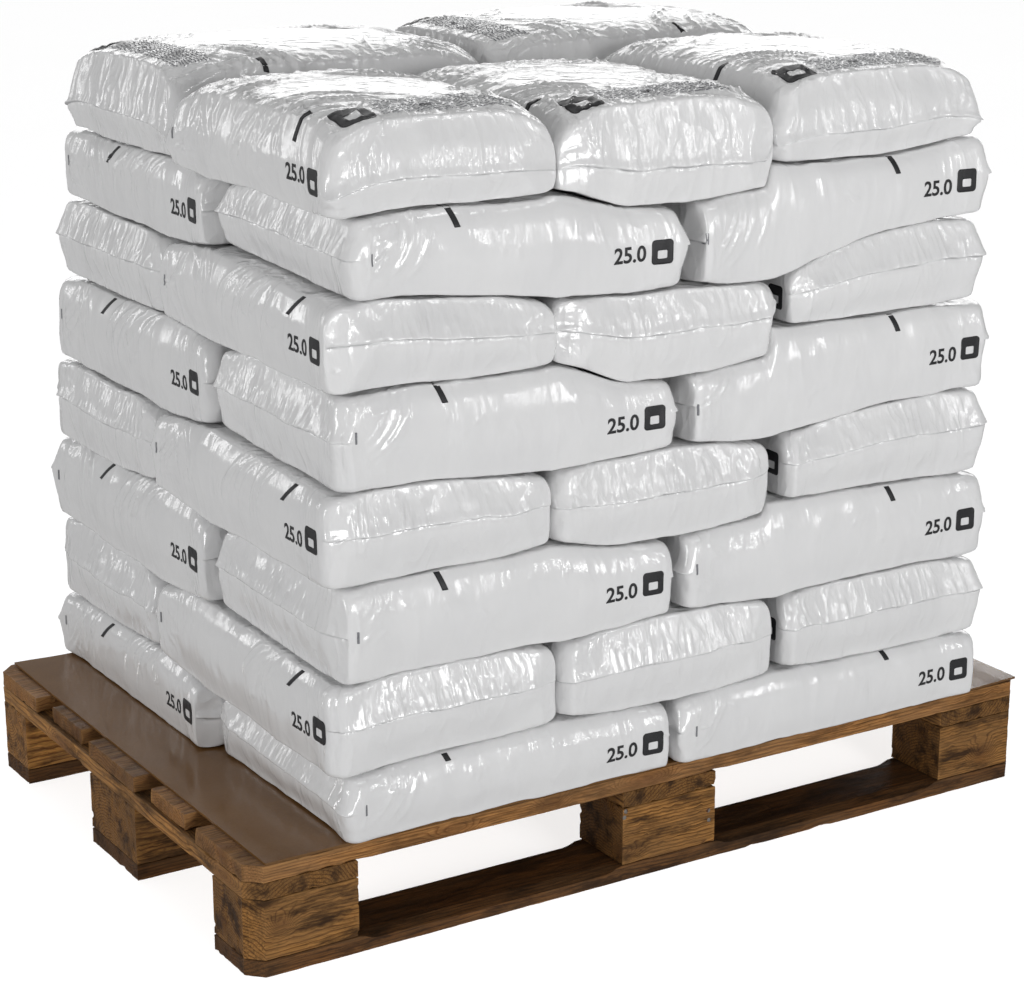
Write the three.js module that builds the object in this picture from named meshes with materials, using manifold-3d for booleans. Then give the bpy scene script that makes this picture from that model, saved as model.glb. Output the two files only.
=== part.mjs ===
// A loaded pallet: forty filled plastic film sacks in eight interlocking layers, on a thin
// brown sheet, on a four-way wooden block pallet. Millimetres, +Z up. The origin is on the
// ground under the pallet's middle. X runs along the pallet's long side, Y along its short
// side, and the front is the long side at -Y.
import * as THREE from "three";
import { mergeVertices } from "three/addons/utils/BufferGeometryUtils.js";
import Module from "manifold-3d";

const wasm = await Module();
wasm.setup();

// Pallet
const PALLET_LENGTH = 1200;
const PALLET_WIDTH = 800;
const BOARD_THICKNESS = 22;
const WIDE_BOARD = 145;
const NARROW_BOARD = 100;
const BLOCK_HEIGHT = 78;
const CORNER_CUT = 20;
const EDGE_BEVEL = { down: 7, across: 15 };
const DECK_END_TRIM = [0, 5, 0, 7, 0];

// Sheet between the deck and the first layer
const SHEET = { length: 1166, width: 792, thickness: 3, x: 6, y: -3 };

// Sacks. Each layer says where its sacks meet: the ends and joints of the front and the back
// row along X, and the front face, the joint between the rows and the back face along Y. The
// lower layers are pressed wider than those above, and each has slipped a little.
const SACK_GAP = 3;
const SEAT_GAP = 0.3;
const SIDE_LEAN = 5;
const EDGE_ROUND = 10;
const PLAN_CORNER = 26;
const LAYERS = [
  { front: [-477, 0, 503], back: [-494, -164, 166, 496], rows: [-416, -54, 416], height: 91 },
  { front: [-493, -175, 154, 500], back: [-493, 0, 494], rows: [-417, 88, 417], height: 111 },
  { front: [-482, -3, 505], back: [-493, -164, 164, 492], rows: [-415, -84, 415], height: 120 },
  { front: [-495, -182, 145, 493], back: [-492, 0, 490], rows: [-413, 75, 412], height: 111 },
  { front: [-477, -1, 501], back: [-483, -159, 165, 488], rows: [-410, -84, 405], height: 117 },
  { front: [-481, -176, 146, 479], back: [-476, 3, 480], rows: [-407, 62, 395], height: 106 },
  { front: [-452, 10, 484], back: [-466, -152, 162, 476], rows: [-404, -64, 390], height: 96 },
  { front: [-475, -171, 145, 471], back: [-465, 2, 468], rows: [-400, 30, 372] },
];
const TOP_SACK_HEIGHTS = { front: [114, 107, 124], back: [129, 135] };
const TOP_SHOULDER = 0.66;

// Heights of the pallet's levels
const BLOCK_BASE = BOARD_THICKNESS;
const STRINGER_BASE = BLOCK_BASE + BLOCK_HEIGHT;
const DECK_BASE = STRINGER_BASE + BOARD_THICKNESS;
const SHEET_BASE = DECK_BASE + BOARD_THICKNESS;
const LOAD_BASE = SHEET_BASE + SHEET.thickness;

// Finishes
const DECK_WOOD = new THREE.MeshStandardMaterial({ color: 0xa9794a, roughness: 0.85, metalness: 0 });
const BLOCK_WOOD = new THREE.MeshStandardMaterial({ color: 0x7c5735, roughness: 0.9, metalness: 0 });
const SKID_WOOD = new THREE.MeshStandardMaterial({ color: 0x574330, roughness: 0.92, metalness: 0 });
const BROWN_BOARD = new THREE.MeshStandardMaterial({ color: 0x8a6a50, roughness: 0.5, metalness: 0 });
const WHITE_FILM = new THREE.MeshStandardMaterial({ color: 0xe3e4e6, roughness: 0.3, metalness: 0 });

const load = new THREE.Group();

function place(name, geometry, material, x = 0, y = 0, z = 0) {
  const mesh = new THREE.Mesh(geometry, material);
  mesh.name = name;
  mesh.position.set(x, y, z);
  load.add(mesh);
  return mesh;
}

// A flat board or block seen from above, centred on the origin. Each entry of cuts, such as
// [1, -1], says which of its corners is sawn off.
function timber(length, width, height, cuts = []) {
  const outline = [];
  for (const [sx, sy] of [[-1, -1], [1, -1], [1, 1], [-1, 1]]) {
    const corner = new THREE.Vector2((sx * length) / 2, (sy * width) / 2);
    if (!cuts.some(([cx, cy]) => cx === sx && cy === sy)) {
      outline.push(corner);
      continue;
    }
    const alongX = new THREE.Vector2(corner.x - sx * CORNER_CUT, corner.y);
    const alongY = new THREE.Vector2(corner.x, corner.y - sy * CORNER_CUT);
    outline.push(...(sx === sy ? [alongY, alongX] : [alongX, alongY]));
  }
  return new THREE.ExtrudeGeometry(new THREE.Shape(outline), { depth: height, bevelEnabled: false });
}

function toSolid(geometry) {
  const bare = new THREE.BufferGeometry();
  bare.setAttribute("position", geometry.getAttribute("position"));
  if (geometry.index) bare.setIndex(geometry.index);
  const merged = mergeVertices(bare);
  return new wasm.Manifold(new wasm.Mesh({
    numProp: 3,
    vertProperties: new Float32Array(merged.getAttribute("position").array),
    triVerts: new Uint32Array(merged.index.array),
  }));
}

function toGeometry(solid) {
  const mesh = solid.getMesh();
  const geometry = new THREE.BufferGeometry();
  geometry.setAttribute("position", new THREE.BufferAttribute(mesh.vertProperties, 3));
  geometry.setIndex(new THREE.BufferAttribute(mesh.triVerts, 1));
  geometry.computeVertexNormals();
  return geometry;
}

// A triangular prism along X that takes the bevel off one upper edge of a ground board.
// side is 1 for the board's +Y edge and -1 for its -Y edge.
function bevelCutter(from, to, edgeY, side) {
  const beyond = 2;
  const section = new THREE.Shape([
    new THREE.Vector2(edgeY + side * beyond, BOARD_THICKNESS - EDGE_BEVEL.down),
    new THREE.Vector2(edgeY + side * beyond, BOARD_THICKNESS + beyond),
    new THREE.Vector2(edgeY - side * EDGE_BEVEL.across, BOARD_THICKNESS + beyond),
    new THREE.Vector2(edgeY - side * EDGE_BEVEL.across, BOARD_THICKNESS),
    new THREE.Vector2(edgeY, BOARD_THICKNESS - EDGE_BEVEL.down),
  ]);
  const prism = new THREE.ExtrudeGeometry(section, { depth: to - from, bevelEnabled: false });
  prism.applyMatrix4(new THREE.Matrix4().makeBasis(
    new THREE.Vector3(0, 1, 0), new THREE.Vector3(0, 0, 1), new THREE.Vector3(1, 0, 0)));
  prism.translate(from, 0, 0);
  return toSolid(prism);
}

// The ground boards, with their upper edges bevelled between the blocks for a truck's wheels
function groundBoard(width, centreY, cuts, block = null) {
  const board = timber(PALLET_LENGTH, width, BOARD_THICKNESS, cuts);
  board.translate(0, centreY, 0);
  let solid = toSolid(board);
  const middle = WIDE_BOARD / 2;
  const end = PALLET_LENGTH / 2 - WIDE_BOARD;
  for (const side of [-1, 1]) {
    const edgeY = centreY + (side * width) / 2;
    solid = solid.subtract(bevelCutter(-end, -middle, edgeY, side));
    solid = solid.subtract(bevelCutter(middle, end, edgeY, side));
  }
  if (block) solid = solid.add(toSolid(block));
  return toGeometry(solid);
}

function buildPallet() {
  const outerRow = (PALLET_WIDTH - NARROW_BOARD) / 2;
  const endRow = (PALLET_LENGTH - WIDE_BOARD) / 2;
  const cutsOn = (sx, sy) => (sx && sy ? [[sx, sy]] : []);

  const rows = [["front", -1], ["middle", 0], ["back", 1]];
  const columns = [["left", -1], ["middle", 0], ["right", 1]];

  const sunk = 1;
  const centreBlock = timber(WIDE_BOARD, WIDE_BOARD, BLOCK_HEIGHT + sunk);
  centreBlock.translate(0, 0, BLOCK_BASE - sunk);
  place("ground_board_front", groundBoard(NARROW_BOARD, -outerRow, [[-1, -1], [1, -1]]), SKID_WOOD);
  place("ground_board_middle_with_block", groundBoard(WIDE_BOARD, 0, [], centreBlock), SKID_WOOD);
  place("ground_board_back", groundBoard(NARROW_BOARD, outerRow, [[-1, 1], [1, 1]]), SKID_WOOD);

  for (const [rowName, sy] of rows) {
    for (const [columnName, sx] of columns) {
      if (!sx && !sy) continue;
      const width = sy ? NARROW_BOARD : WIDE_BOARD;
      const block = timber(WIDE_BOARD, width, BLOCK_HEIGHT, cutsOn(sx, sy));
      place(`block_${rowName}_${columnName}`, block, BLOCK_WOOD, sx * endRow, sy * outerRow, BLOCK_BASE);
    }
  }

  for (const [name, sx] of columns) {
    const cuts = sx ? [[sx, -1], [sx, 1]] : [];
    const stringer = timber(WIDE_BOARD, PALLET_WIDTH, BOARD_THICKNESS, cuts);
    place(`stringer_${name}`, stringer, BLOCK_WOOD, sx * endRow, 0, STRINGER_BASE);
  }

  const widths = [WIDE_BOARD, NARROW_BOARD, WIDE_BOARD, NARROW_BOARD, WIDE_BOARD];
  const covered = widths.reduce((sum, width) => sum + width, 0);
  const gap = (PALLET_WIDTH - covered) / (widths.length - 1);
  let edge = -PALLET_WIDTH / 2;
  widths.forEach((width, i) => {
    const sy = i === 0 ? -1 : i === widths.length - 1 ? 1 : 0;
    const cuts = sy ? [[-1, sy], [1, sy]] : [];
    const board = timber(PALLET_LENGTH - DECK_END_TRIM[i], width, BOARD_THICKNESS, cuts);
    place(`deck_board_${i + 1}`, board, DECK_WOOD, DECK_END_TRIM[i] / 2, edge + width / 2, DECK_BASE);
    edge += width + gap;
  });
}

function buildSheet() {
  const sheet = new THREE.BoxGeometry(SHEET.length, SHEET.width, SHEET.thickness);
  place("brown_sheet", sheet, BROWN_BOARD, SHEET.x, SHEET.y, SHEET_BASE + SHEET.thickness / 2);
}

// One turn of points round a rectangle with round corners, and a point midway along each side
function roundedOutline(halfLength, halfWidth, radius) {
  const stepsPerCorner = 3;
  const points = [];
  for (const [sx, sy, start] of [[1, 1, 0], [-1, 1, 1], [-1, -1, 2], [1, -1, 3]]) {
    for (let i = 0; i <= stepsPerCorner; i++) {
      const angle = ((start + i / stepsPerCorner) * Math.PI) / 2;
      points.push([
        sx * (halfLength - radius) + radius * Math.cos(angle),
        sy * (halfWidth - radius) + radius * Math.sin(angle),
      ]);
    }
  }
  return points;
}

// A filled sack lying flat, its middle over the origin and its underside at z = 0. Its sides
// lean out to the seam at half height and are round at the upper and lower edge. Above the
// shoulder the film closes in a low crown, which is flat where another layer presses on it.
function sackGeometry(length, width, height, shoulder) {
  const bellyFractions = [0, 0.05, 0.16, 0.5, 0.84, 0.95, 1];
  const crownShares = [0.9, 0.7, 0.42];
  const roundness = 8;
  const topInset = SIDE_LEAN + EDGE_ROUND;
  const rings = bellyFractions.map((f) => {
    const fromSeam = Math.abs(2 * f - 1);
    return { z: f * shoulder, inset: SIDE_LEAN * fromSeam + EDGE_ROUND * fromSeam ** roundness, share: 1 };
  });
  if (shoulder < height) {
    for (const share of crownShares) {
      rings.push({ z: shoulder + (height - shoulder) * (1 - share ** 3), inset: topInset, share });
    }
  }

  const positions = [];
  for (const { z, inset, share } of rings) {
    const halfLength = length / 2 - inset;
    const halfWidth = width / 2 - inset;
    for (const [x, y] of roundedOutline(halfLength, halfWidth, PLAN_CORNER - inset)) {
      positions.push(x * share, y * share, z);
    }
  }
  const count = positions.length / 3 / rings.length;
  const bottom = positions.length / 3;
  positions.push(0, 0, 0, 0, 0, height);

  const faces = [];
  for (let i = 0; i < count; i++) {
    const next = (i + 1) % count;
    for (let ring = 0; ring < rings.length - 1; ring++) {
      const low = ring * count;
      const high = low + count;
      faces.push(low + i, low + next, high + next, low + i, high + next, high + i);
    }
    const last = (rings.length - 1) * count;
    faces.push(bottom, next, i, bottom + 1, last + i, last + next);
  }
  const geometry = new THREE.BufferGeometry();
  geometry.setAttribute("position", new THREE.Float32BufferAttribute(positions, 3));
  geometry.setIndex(faces);
  geometry.computeVertexNormals();
  return geometry;
}

// Odd layers have two sacks lengthwise in front and three crosswise behind them, and even
// layers the other way round, so that each layer ties the one below.
function buildLayer(number, base, heightsOf) {
  const layer = LAYERS[number - 1];
  const [frontFace, joint, backFace] = layer.rows;
  const rows = { front: [frontFace, joint - SACK_GAP / 2], back: [joint + SACK_GAP / 2, backFace] };
  for (const [row, [near, far]] of Object.entries(rows)) {
    const joints = layer[row];
    const names = joints.length === 3 ? ["left", "right"] : ["left", "middle", "right"];
    names.forEach((name, i) => {
      const { height, shoulder } = heightsOf(row, i);
      const from = joints[i] + (i > 0 ? SACK_GAP / 2 : 0);
      const to = joints[i + 1] - (i < names.length - 1 ? SACK_GAP / 2 : 0);
      const sack = sackGeometry(to - from, far - near, height, shoulder);
      place(`sack_${number}_${row}_${name}`, sack, WHITE_FILM, (from + to) / 2, (near + far) / 2,
        base + SEAT_GAP);
    });
  }
}

function buildLoad() {
  let base = LOAD_BASE;
  LAYERS.forEach(({ height }, i) => {
    const pressed = { height: height - SEAT_GAP, shoulder: height - SEAT_GAP };
    buildLayer(i + 1, base, (row, place) => {
      if (height) return pressed;
      const crown = TOP_SACK_HEIGHTS[row][place];
      return { height: crown, shoulder: crown * TOP_SHOULDER };
    });
    base += height ?? 0;
  });
}

buildPallet();
buildSheet();
buildLoad();

export default load;
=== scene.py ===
"""A wooden block pallet loaded with forty glossy white film sacks, dressed for a studio picture.

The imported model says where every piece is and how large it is. Here the sacks are pressed in a
cloth simulation, creased and laid into their layers, the timbers are sawn, worn and nailed, and
every surface gets its finish. Blender's own lengths are metres. Points that are still being
worked out, all of SackSize, and values whose names end in mm are millimetres.
"""

import logging
import math
from dataclasses import dataclass, field
from enum import Enum

import bmesh
import bpy
import numpy as np
from mathutils import Matrix, Vector


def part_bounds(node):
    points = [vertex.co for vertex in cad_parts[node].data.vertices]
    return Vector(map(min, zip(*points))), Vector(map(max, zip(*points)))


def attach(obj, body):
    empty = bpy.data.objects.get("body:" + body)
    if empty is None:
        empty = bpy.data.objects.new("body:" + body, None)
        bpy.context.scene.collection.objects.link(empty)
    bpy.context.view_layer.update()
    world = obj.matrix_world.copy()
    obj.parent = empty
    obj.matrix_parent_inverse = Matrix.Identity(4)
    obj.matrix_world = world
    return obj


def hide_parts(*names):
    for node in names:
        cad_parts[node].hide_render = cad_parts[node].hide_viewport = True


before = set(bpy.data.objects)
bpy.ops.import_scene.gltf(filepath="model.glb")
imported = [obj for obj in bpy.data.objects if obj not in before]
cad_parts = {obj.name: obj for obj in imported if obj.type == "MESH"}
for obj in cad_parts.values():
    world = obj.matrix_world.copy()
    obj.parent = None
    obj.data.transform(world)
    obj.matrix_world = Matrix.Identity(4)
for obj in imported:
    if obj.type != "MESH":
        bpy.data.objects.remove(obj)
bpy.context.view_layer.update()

MM = 0.001
LOG = logging.getLogger("pallet")

# Blender's types under short names
Tree = bpy.types.NodeTree
Socket = bpy.types.NodeSocket
Material = bpy.types.Material
Thing = bpy.types.Object

# Width of the picture, in which the lens is measured
IMAGE_WIDTH_PX = 1024


def linear(hex_colour: str) -> tuple[float, float, float, float]:
    """Turns an sRGB hex colour into linear RGBA.

    Args:
        hex_colour: Six hex digits with a leading hash.

    Returns:
        The linear colour with full alpha.
    """
    channels = [int(hex_colour[i:i + 2], 16) / 255 for i in (1, 3, 5)]
    lin = [c / 12.92 if c <= 0.04045 else ((c + 0.055) / 1.055) ** 2.4 for c in channels]
    return (*lin, 1.0)


def feed(tree: Tree, node: bpy.types.Node, inputs: dict) -> None:
    """Sets a node's inputs.

    Args:
        tree: The node's tree.
        node: The node.
        inputs: Values or output sockets, by the input's name or number.
    """
    for key, value in inputs.items():
        if isinstance(value, Socket):
            tree.links.new(value, node.inputs[key])
        else:
            node.inputs[key].default_value = value


def add_node(tree: Tree, kind: str, settings: dict | None = None,
             inputs: dict | None = None) -> bpy.types.Node:
    """Adds one node with its settings, its values and the links that come into it.

    Args:
        tree: The tree that gets the node.
        kind: Blender's name of the node type.
        settings: Properties of the node to set.
        inputs: Values or output sockets, by the input's name or number.

    Returns:
        The new node.
    """
    node = tree.nodes.new(kind)
    for name, value in (settings or {}).items():
        setattr(node, name, value)
    feed(tree, node, inputs or {})
    return node


def sum_of(tree: Tree, how: str, *terms: object) -> Socket:
    """Runs one maths operation on numbers or sockets.

    Args:
        tree: The tree that gets the node.
        how: Blender's name of the operation.
        terms: The operation's inputs in order.

    Returns:
        The result's socket.
    """
    return add_node(tree, "ShaderNodeMath", {"operation": how}, dict(enumerate(terms))).outputs[0]


def times(tree: Tree, first: object, second: object) -> Socket:
    """Multiplies two numbers or sockets."""
    return sum_of(tree, "MULTIPLY", first, second)


def ramp(tree: Tree, factor: Socket,
         stops: list[tuple[float, str]]) -> Socket:
    """Adds a colour ramp.

    Args:
        tree: The material's tree.
        factor: What drives the ramp.
        stops: Places from 0 to 1 with their sRGB hex colours.

    Returns:
        The ramp's colour output.
    """
    node = add_node(tree, "ShaderNodeValToRGB", inputs={"Fac": factor})
    elements = node.color_ramp.elements
    while len(elements) < len(stops):
        elements.new(0.5)
    for element, (place, colour) in zip(elements, stops):
        element.position = place
        element.color = linear(colour)
    return node.outputs["Color"]


def mix_colour(tree: Tree, factor: object, first: object, second: object,
               how: str = "MIX") -> Socket:
    """Mixes two colours.

    Args:
        tree: The material's tree.
        factor: Share of the second colour, a number or a socket.
        first: The first colour, an sRGB hex colour or a socket.
        second: The second colour, an sRGB hex colour or a socket.
        how: Blender's name of the blend.

    Returns:
        The mixed colour.
    """
    first, second = (linear(c) if isinstance(c, str) else c for c in (first, second))
    node = add_node(tree, "ShaderNodeMix", {"data_type": "RGBA", "blend_type": how},
                    {0: factor, 6: first, 7: second})
    return node.outputs[2]


def attribute(tree: Tree, name: str, output: str = "Fac") -> Socket:
    """Reads a number, or with output "Vector" a vector, kept on the mesh."""
    return add_node(tree, "ShaderNodeAttribute", {"attribute_name": name}).outputs[output]


def on_object(tree: Tree) -> Socket:
    """Gives the place in the object's own frame."""
    return add_node(tree, "ShaderNodeTexCoord").outputs["Object"]


def scaled(tree: Tree, place: Socket, *scale: float) -> Socket:
    """Scales a place along x, y and z. A small scale draws a pattern out that way."""
    return add_node(tree, "ShaderNodeMapping", inputs={"Vector": place, "Scale": scale}).outputs["Vector"]


def noise(tree: Tree, place: Socket, cell_mm: float, detail: float,
          roughness: float = 0.5, output: str = "Fac") -> Socket:
    """Adds cloudy noise.

    Args:
        tree: The material's tree.
        place: Where the noise is read.
        cell_mm: Size of its largest lumps.
        detail: How many finer octaves it has.
        roughness: How strong they are.
        output: Which output, "Fac" or "Color".

    Returns:
        The noise's socket.
    """
    return add_node(tree, "ShaderNodeTexNoise", inputs={
        "Vector": place, "Scale": 1 / (cell_mm * MM), "Detail": detail,
        "Roughness": roughness}).outputs[output]


def share_of(tree: Tree, value: Socket, low: float, high: float,
             to: tuple[float, float] = (0.0, 1.0), how: str = "SMOOTHSTEP") -> Socket:
    """Turns a value between low and high into one between two others.

    Args:
        tree: The tree that gets the node.
        value: The value.
        low: Where the result begins to change.
        high: Where it stops.
        to: The result at low and at high.
        how: Blender's name of the way between them.

    Returns:
        The result's socket.
    """
    return add_node(tree, "ShaderNodeMapRange", {"interpolation_type": how}, {
        "Value": value, "From Min": low, "From Max": high, "To Min": to[0], "To Max": to[1],
    }).outputs["Result"]


def bump(tree: Tree, height: Socket, strength: object, distance_mm: float,
         under: Socket | None = None) -> Socket:
    """Turns heights into relief.

    Args:
        tree: The material's tree.
        height: The heights.
        strength: How strong the relief is, a number or a socket.
        distance_mm: How high a height of 1 stands.
        under: Relief that this one lies on.

    Returns:
        The bent normal.
    """
    inputs = {"Strength": strength, "Distance": distance_mm * MM, "Height": height}
    if under:
        inputs["Normal"] = under
    return add_node(tree, "ShaderNodeBump", inputs=inputs).outputs["Normal"]


def new_material(name: str) -> tuple[Material, Tree, bpy.types.Node]:
    """Makes a material with an empty principled shader.

    Args:
        name: The material's name.

    Returns:
        The material, its node tree and its shader node.
    """
    material = bpy.data.materials.new(name)
    material.use_nodes = True
    tree = material.node_tree
    return material, tree, tree.nodes["Principled BSDF"]


def mesh_object(name: str, points_mm: np.ndarray, faces: list, material: Material,
                attributes: dict[str, np.ndarray] | None = None, smooth: bool = True) -> Thing:
    """Makes a mesh object at the origin from points in millimetres.

    Args:
        name: The object's name.
        points_mm: One row of x, y, z for each vertex.
        faces: Tuples of vertex numbers.
        material: The finish of all faces.
        attributes: Vectors (n, 3) or numbers (n,) kept on the vertices by name.
        smooth: Whether the faces are shaded smooth.

    Returns:
        The object, linked to the scene.
    """
    mesh = bpy.data.meshes.new(name)
    mesh.from_pydata((points_mm * MM).tolist(), [], faces)
    for key, values in (attributes or {}).items():
        kind = "FLOAT_VECTOR" if values.ndim == 2 else "FLOAT"
        layer = mesh.attributes.new(key, kind, "POINT")
        layer.data.foreach_set("vector" if values.ndim == 2 else "value",
                               values.astype(np.float32).ravel())
    mesh.polygons.foreach_set("use_smooth", [smooth] * len(mesh.polygons))
    mesh.materials.append(material)
    mesh.update()
    piece = bpy.data.objects.new(name, mesh)
    bpy.context.scene.collection.objects.link(piece)
    return piece


def realized(piece: Thing) -> Thing:
    """Turns what the piece's modifiers make into its plain mesh and removes them.

    Args:
        piece: An object with live modifiers.

    Returns:
        The same object.
    """
    depsgraph = bpy.context.evaluated_depsgraph_get()
    plain = bpy.data.meshes.new_from_object(piece.evaluated_get(depsgraph))
    piece.modifiers.clear()
    old = piece.data
    piece.data = plain
    bpy.data.meshes.remove(old)
    return piece


def thinned(piece: Thing, share: float) -> Thing:
    """Thins the piece's mesh, first where it is flat, down to a share of its triangles.

    Args:
        piece: A dressed piece.
        share: How much of the triangles stays.

    Returns:
        The same object.
    """
    piece.modifiers.new("thin", "DECIMATE").ratio = share
    return realized(piece)


def set_inputs(nodes: bpy.types.NodesModifier, values: dict[str, object]) -> None:
    """Sets the named inputs of a Geometry Nodes modifier.

    Args:
        nodes: The modifier.
        values: Values by the inputs' names.
    """
    for item in nodes.node_group.interface.items_tree:
        if item.item_type == "SOCKET" and item.in_out == "INPUT" and item.name in values:
            nodes[item.identifier] = values[item.name]


def new_tree(name: str, sockets: dict[str, str]) -> tuple[Tree, bpy.types.NodeOutputs]:
    """Starts a Geometry Nodes tree.

    Args:
        name: The tree's name.
        sockets: Kinds of its inputs by their names. The input Geometry comes before them.

    Returns:
        The tree, and the sockets that give its inputs.
    """
    tree = bpy.data.node_groups.new(name, "GeometryNodeTree")
    for socket, kind in {"Geometry": "Geometry", **sockets}.items():
        tree.interface.new_socket(socket, in_out="INPUT", socket_type="NodeSocket" + kind)
    tree.interface.new_socket("Geometry", in_out="OUTPUT", socket_type="NodeSocketGeometry")
    return tree, add_node(tree, "NodeGroupInput").outputs


def end_tree(tree: Tree, geometry: Socket,
             material: Socket) -> None:
    """Ends a Geometry Nodes tree: its instances are made real and get their material.

    Args:
        tree: The node tree.
        geometry: What it has made.
        material: The material of all of it.
    """
    real = add_node(tree, "GeometryNodeRealizeInstances", inputs={"Geometry": geometry})
    dressed = add_node(tree, "GeometryNodeSetMaterial", inputs={
        "Geometry": real.outputs[0], "Material": material})
    add_node(tree, "NodeGroupOutput", inputs={"Geometry": dressed.outputs[0]})


def named_vector(tree: Tree, name: str) -> Socket:
    """Reads a vector kept on the vertices in a Geometry Nodes tree."""
    return add_node(tree, "GeometryNodeInputNamedAttribute", {"data_type": "FLOAT_VECTOR"},
                    {"Name": name}).outputs["Attribute"]


def lattice_noise(points: np.ndarray, cell: float, seed: int) -> np.ndarray:
    """Smooth noise between -1 and 1 that is the same on every run.

    Args:
        points: Rows of x, y, z.
        cell: Size of one lump of the noise, in the points' unit.
        seed: Number of the pattern.

    Returns:
        One number for each point.
    """
    scaled = points / cell + 1000.0
    base = np.floor(scaled).astype(np.int64)
    part = scaled - base
    part = part * part * part * (part * (part * 6 - 15) + 10)
    total = np.zeros(len(points))
    for corner in range(8):
        step = np.array([corner & 1, corner >> 1 & 1, corner >> 2 & 1])
        x, y, z = (base + step).T
        mixed = (x * 374761393 + y * 668265263 + z * 2147483647 + seed * 974634777) & 0xFFFFFFFF
        mixed = (mixed ^ (mixed >> 13)) * 1274126177 & 0xFFFFFFFF
        value = ((mixed ^ (mixed >> 16)) & 0xFFFF) / 32767.5 - 1
        weight = np.prod(np.where(step == 1, part, 1 - part), axis=1)
        total += value * weight
    return total


def smooth_step(low: float, high: float, value: np.ndarray) -> np.ndarray:
    """Rises smoothly from 0 at low to 1 at high."""
    share = np.clip((value - low) / (high - low), 0, 1)
    return share * share * (3 - 2 * share)


@dataclass(frozen=True)
class FilmFinish:
    """Blown low-density polyethylene film, pigmented white."""

    colour: str = "#eaeaea"
    shade: str = "#e0e0e1"
    # Grey mixed in along the seal: painted shade of its crease
    seal_crease_shade: str = "#9d9d9f"
    roughness: float = 0.145
    rubbed: tuple[float, float] = (-0.05, 0.07)
    ior: float = 1.51
    gloss: float = 0.72
    upright_scale: float = 0.42
    cloud_mm: float = 90.0
    crinkle_mm: float = 30.0
    fine_crinkle_mm: float = 6.0
    taut_share: float = 0.6
    crinkle_strength: float = 0.6
    fine_strength: float = 0.36

    def material(self) -> Material:
        """Makes the film: a bright, slightly cool white whose thin gloss breaks up on fine crinkles, with
        painted shade along the seal's crease.

        Returns:
            The film's material.
        """
        material, tree, shader = new_material("white_polyethylene_film")
        place = attribute(tree, "film_place", "Vector")
        upright = scaled(tree, place, 1.0, 1.0, self.upright_scale)
        clouds = noise(tree, place, self.cloud_mm, 3.0, 0.55)
        tint = mix_colour(tree, clouds, self.shade, self.colour)

        # Stretched film: sharp shallow creases of changing direction, and a faint orange peel between them
        creases = add_node(tree, "ShaderNodeTexNoise", {"noise_type": "RIDGED_MULTIFRACTAL"}, {
            "Vector": upright, "Scale": 1 / (self.crinkle_mm * MM), "Detail": 1.5, "Roughness": 0.5,
            "Offset": 0.9, "Gain": 1.6, "Distortion": 0.6}).outputs["Fac"]
        fine = noise(tree, upright, self.fine_crinkle_mm, 2.0, 0.55)
        slack = sum_of(tree, "SUBTRACT", 1.0, times(tree, attribute(tree, "taut"), self.taut_share))
        broad = bump(tree, creases, times(tree, slack, self.crinkle_strength), 1.6)
        worn = tuple(self.roughness + change for change in self.rubbed)
        # The seam attribute mixes in the crease grey, painted shade along the seal
        feed(tree, shader, {
            "Base Color": mix_colour(tree, attribute(tree, "seam"), tint, self.seal_crease_shade),
            "IOR": self.ior, "Specular IOR Level": self.gloss,
            "Roughness": share_of(tree, clouds, 0.3, 0.7, worn, "LINEAR"),
            "Normal": bump(tree, fine, times(tree, slack, self.fine_strength), 1.0, broad)})
        return material


@dataclass(frozen=True)
class InkFinish:
    """Flexographic ink on polyethylene film."""

    name: str
    colour: str
    fade: str = "#26262a"
    roughness: float = 0.5
    speck_mm: float = 1.5

    def material(self) -> Material:
        """Makes the ink: an even dark coat, duller than the film, thin in tiny specks.

        Returns:
            The ink's material.
        """
        material, tree, shader = new_material(self.name)
        specks = noise(tree, on_object(tree), self.speck_mm, 2.0)
        feed(tree, shader, {"Base Color": ramp(tree, specks, [(0.3, self.colour), (0.75, self.fade)]),
                            "Roughness": self.roughness, "IOR": 1.5})
        return material


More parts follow.
